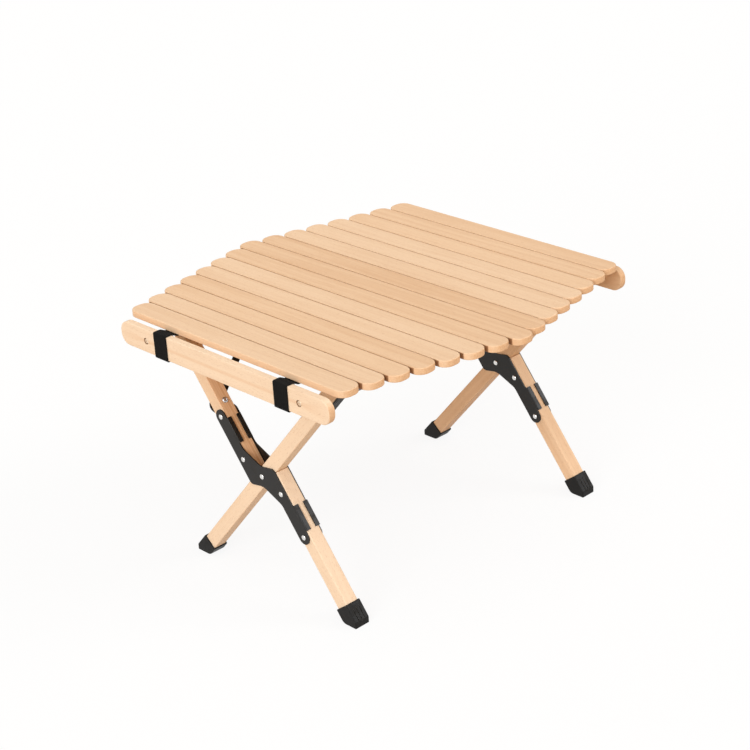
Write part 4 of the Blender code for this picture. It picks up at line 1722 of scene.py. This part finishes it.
@dataclass
class SideBraces(LegGeometry):
    """The split legs' two braces with their bolts."""

    brace_width: float = 0.012
    brace_end: float = 0.013
    brace_reach: float = 0.166
    brace_arris: float = 0.0005

    def rail_bolt(self, sign: float) -> Point:
        """Place a brace's bolt on the split legs' rail, along the table and along the leg."""
        reach = self.place - self.brace_reach
        return (sign * reach, self.bar_top(self.split) - self.rail_depth / 2)

    def brace_outline(self, sign: float) -> list[Point]:
        """Draw a brace: a flat bar between round lugs about its two bolts.

        Args:
            sign: Which frame, along Y.

        Returns:
            Points (along the table, along the leg).
        """
        ends = (Vector(self.leg_bolt(self.split, sign)), Vector(self.rail_bolt(sign)))
        bar = ends[1] - ends[0]
        opening = math.asin(self.brace_width / 2 / self.brace_end)
        sweep, steps = 2 * (math.pi - opening), LUG_STEPS
        points: list[Point] = []
        for bolt, heading in zip(ends, (bar, -bar)):
            slope = math.atan2(heading.y, heading.x)
            for step in range(steps + 1):
                angle = slope + opening + sweep * step / steps
                spoke = Vector((math.cos(angle), math.sin(angle))) * self.brace_end
                points.append(tuple(bolt + spoke))
        return points

    def build(self) -> None:
        """Build the braces and bolt them on."""
        side = self.split
        faces = sorted(self.flat_faces(side))
        for end, sign in ENDS:
            node = "side_brace_split_" + end
            mesh = prism(self.brace_outline(sign), *faces, Plane.XY, self.brace_arris, 2)
            fitting = Fitting(side.body, "black_steel", (node,), self.rail_matrix(side))
            piece("brace_bar_" + end, mesh, self.finishes.coated_steel, fitting)
            self.build_bolt("brace_bolt_split_leg_" + end, side, self.leg_bolt(side, sign))
            self.build_bolt("brace_bolt_split_rail_" + end, side, self.rail_bolt(sign))


@dataclass
class CornerPlates(LegGeometry):
    """The full legs' ribbed corner plates with their bolts."""

    half: float = 0.0095
    length: float = 0.080
    reach: float = 0.070
    arm_depth: float = 0.022
    corner_round: float = 0.001
    tip_round: float = 0.004
    fillet: float = 0.006
    plate_arris: float = 0.0004
    rib_pitch: float = 0.0055
    rib_half: float = 0.0010
    rib_rise: float = 0.0007
    rib_round_share: float = 0.95
    rib_inset: Point = (0.005, 0.004)
    rib_arris: float = 0.0005

    def plate_outline(self, sign: float) -> list[Point]:
        """Draw a plate: an arm down the leg and an arm along the rail.

        Args:
            sign: Which frame, along Y.

        Returns:
            Points (along the table, along the leg).
        """
        top = self.bar_top(self.full)
        outside, inside = self.place + self.half, self.place - self.half
        tip, bottom, lower = self.place - self.reach, top - self.length, top - self.arm_depth
        corners = [
            (outside, top, self.corner_round),
            (outside, bottom, self.tip_round),
            (inside, bottom, self.tip_round),
            (inside, lower, self.fillet),
            (tip, lower, self.tip_round),
            (tip, top, self.tip_round),
        ]
        return rounded_outline([(sign * y, z, radius) for y, z, radius in corners], CORNER_STEPS)

    def ribs(self, sign: float, face: float) -> list[Mesh]:
        """Press three ribs down a plate's leg arm.

        Args:
            sign: Which frame, along Y.
            face: The plate's face across the leg.

        Returns:
            The ribs.
        """
        rise = math.copysign(self.rib_rise, face)
        faces, top = sorted((face - rise, face + rise)), self.bar_top(self.full)
        bottom = top - self.length + self.rib_inset[0]
        radius, made = self.rib_half * self.rib_round_share, []
        for index in (-1, 0, 1):
            y = sign * (self.place + index * self.rib_pitch)
            low, high = (y - self.rib_half, bottom), (y + self.rib_half, top - self.rib_inset[1])
            rib = rounded_box(low, high, radius, SMALL_STEPS)
            made.append(prism(rib, *faces, Plane.XY, self.rib_arris, 2))
        return made

    def build(self) -> None:
        """Build the plates and bolt them on."""
        side = self.full
        seat, face = self.flat_faces(side)
        for end, sign in ENDS:
            faces = sorted((seat, face))
            plate = prism(self.plate_outline(sign), *faces, Plane.XY, self.plate_arris, 2)
            mesh = carved(plate, joined(self.ribs(sign, face)), "UNION")
            node = "corner_plate_full_" + end
            fitting = Fitting(side.body, "black_steel", (node,), self.rail_matrix(side))
            piece("ribbed_corner_" + end, mesh, self.finishes.coated_steel, fitting)
            self.build_bolt("corner_bolt_full_" + end, side, self.leg_bolt(side, sign))


# The studio


@dataclass(frozen=True)
class Lamp:
    """A distant light: where it shines from, its strength, softness and colour."""

    name: str
    source: Corner
    strength: float
    softness: float
    colour: Corner


@dataclass
class Studio:
    """Floor, light and camera."""

    azimuth: float = math.radians(47.048)
    elevation: float = math.radians(24.887)
    roll: float = math.radians(-3.592)
    lens: float = 88.8345
    sensor: float = 36.0
    far_clip: float = 100.0
    eye: Corner = (1.935043, -1.815877, 1.486837)
    ambient: float = 0.40
    room_colour: Colour = (1.0, 0.88, 0.74, 1.0)
    white: Colour = (1.0, 1.0, 1.0, 1.0)
    floor_reach: float = 30.0
    floor_share: float = 0.12
    floor_glow: float = 0.88
    plain_floor: Colour = (0.66, 0.54, 0.42, 1.0)
    lamps: tuple[Lamp, ...] = (
        Lamp("front", (0.35, -1.0, 0.42), 1.90, 35.0, (0.95, 1.0, 1.06)),
        Lamp("top", (0.30, -0.10, 1.0), 0.84, 70.0, (1.0, 0.965, 0.92)),
        Lamp("rim", (0.60, 0.60, 0.52), 0.90, 30.0, (0.98, 1.0, 1.03)),
    )

    def build_camera(self) -> None:
        """Set the camera at the photograph's viewing angle."""
        azimuth, elevation, roll = self.azimuth, self.elevation, self.roll
        level = math.cos(elevation)
        back = Vector((math.sin(azimuth) * level, -math.cos(azimuth) * level, math.sin(elevation)))
        right = Vector((math.cos(azimuth), math.sin(azimuth), 0.0))
        up = back.cross(right)
        across = right * math.cos(roll) + up * math.sin(roll)
        upward = -right * math.sin(roll) + up * math.cos(roll)
        data = bpy.data.cameras.new("studio_camera")
        data.lens, data.sensor_width = self.lens, self.sensor
        data.clip_end = self.far_clip
        camera = bpy.data.objects.new("studio_camera", data)
        camera.matrix_world = placed((across, upward, back), self.eye)
        bpy.context.scene.collection.objects.link(camera)
        bpy.context.scene.camera = camera

    def seen_or_lighting(self, net: Net, seen: Node, lighting: Node) -> Socket:
        """Show one shader to what looks at it and another to what it only lights.

        Args:
            net: The net of the floor's material or the world.
            seen: What camera, glossy and transmission rays see.
            lighting: What all other rays meet.

        Returns:
            The mixed shader's socket.
        """
        path = net.add("ShaderNodeLightPath").outputs
        looks = net.maths("MAXIMUM", path["Is Camera Ray"], path["Is Glossy Ray"])
        looks = net.maths("MAXIMUM", looks, path["Is Transmission Ray"])
        sockets = {0: looks, 1: lighting.outputs[0], 2: seen.outputs[0]}
        return net.add("ShaderNodeMixShader", sockets).outputs[0]

    def build_floor(self) -> None:
        """Lay the pale floor, which keeps the table's shadow."""
        low, high = -self.floor_reach, self.floor_reach
        corners = [(low, low, 0.0), (high, low, 0.0), (high, high, 0.0), (low, high, 0.0)]
        mesh = bpy.data.meshes.new("studio_floor")
        mesh.from_pydata(corners, [], [(0, 1, 2, 3)])
        floor = bpy.data.objects.new("studio_floor", mesh)
        bpy.context.scene.collection.objects.link(floor)
        material = bpy.data.materials.new("pale_floor")
        material.use_nodes = True
        net = Net(material.node_tree)
        net.tree.nodes.clear()
        grey = (self.floor_share, self.floor_share, self.floor_share, 1.0)
        shaded = net.add("ShaderNodeBsdfDiffuse", {"Color": grey})
        glow = net.add("ShaderNodeEmission", {"Strength": self.floor_glow})
        seen = net.add("ShaderNodeAddShader", {0: shaded.outputs[0], 1: glow.outputs[0]})
        plain = net.add("ShaderNodeBsdfDiffuse", {"Color": self.plain_floor})
        mixed = self.seen_or_lighting(net, seen, plain)
        net.add("ShaderNodeOutputMaterial", {"Surface": mixed})
        mesh.materials.append(material)

    def build_light(self) -> None:
        """Hang the lamps and light the room."""
        for lamp in self.lamps:
            light = bpy.data.lights.new(lamp.name + "_lamp", "SUN")
            light.energy, light.color = lamp.strength, lamp.colour
            light.angle = math.radians(lamp.softness)
            holder = bpy.data.objects.new(lamp.name + "_lamp", light)
            holder.rotation_euler = Vector(lamp.source).to_track_quat("Z", "Y").to_euler()
            bpy.context.scene.collection.objects.link(holder)
        world = bpy.data.worlds.new("studio_room")
        bpy.context.scene.world = world
        world.use_nodes = True
        net = Net(world.node_tree)
        net.tree.nodes.clear()
        seen = {"Color": self.white, "Strength": 1.0}
        room = {"Color": self.room_colour, "Strength": self.ambient}
        seen, room = (net.add("ShaderNodeBackground", look) for look in (seen, room))
        mixed = self.seen_or_lighting(net, seen, room)
        net.add("ShaderNodeOutputWorld", {"Surface": mixed})

    def build(self) -> None:
        """Set up floor, light and camera under the plain view transform."""
        self.build_floor()
        self.build_light()
        self.build_camera()
        bpy.context.scene.view_settings.view_transform = "Standard"


def write_sizes() -> None:
    """Update the view layer."""
    bpy.context.view_layer.update()


def main() -> None:
    """Build the studio and the table's sub-assemblies in order."""
    logging.basicConfig(level=logging.INFO, format="%(name)s: %(message)s")
    Studio().build()
    finishes = Finishes.build()
    legs = (Legs, ScissorPlates, FootCaps, SideRails, SideBraces, CornerPlates)
    for assembly in (SlatTop, EndBoards, Straps, *legs):
        LOG.info("building %s", assembly.__name__)
        assembly(finishes).build()
    write_sizes()


if __name__ == "__main__":
    main()
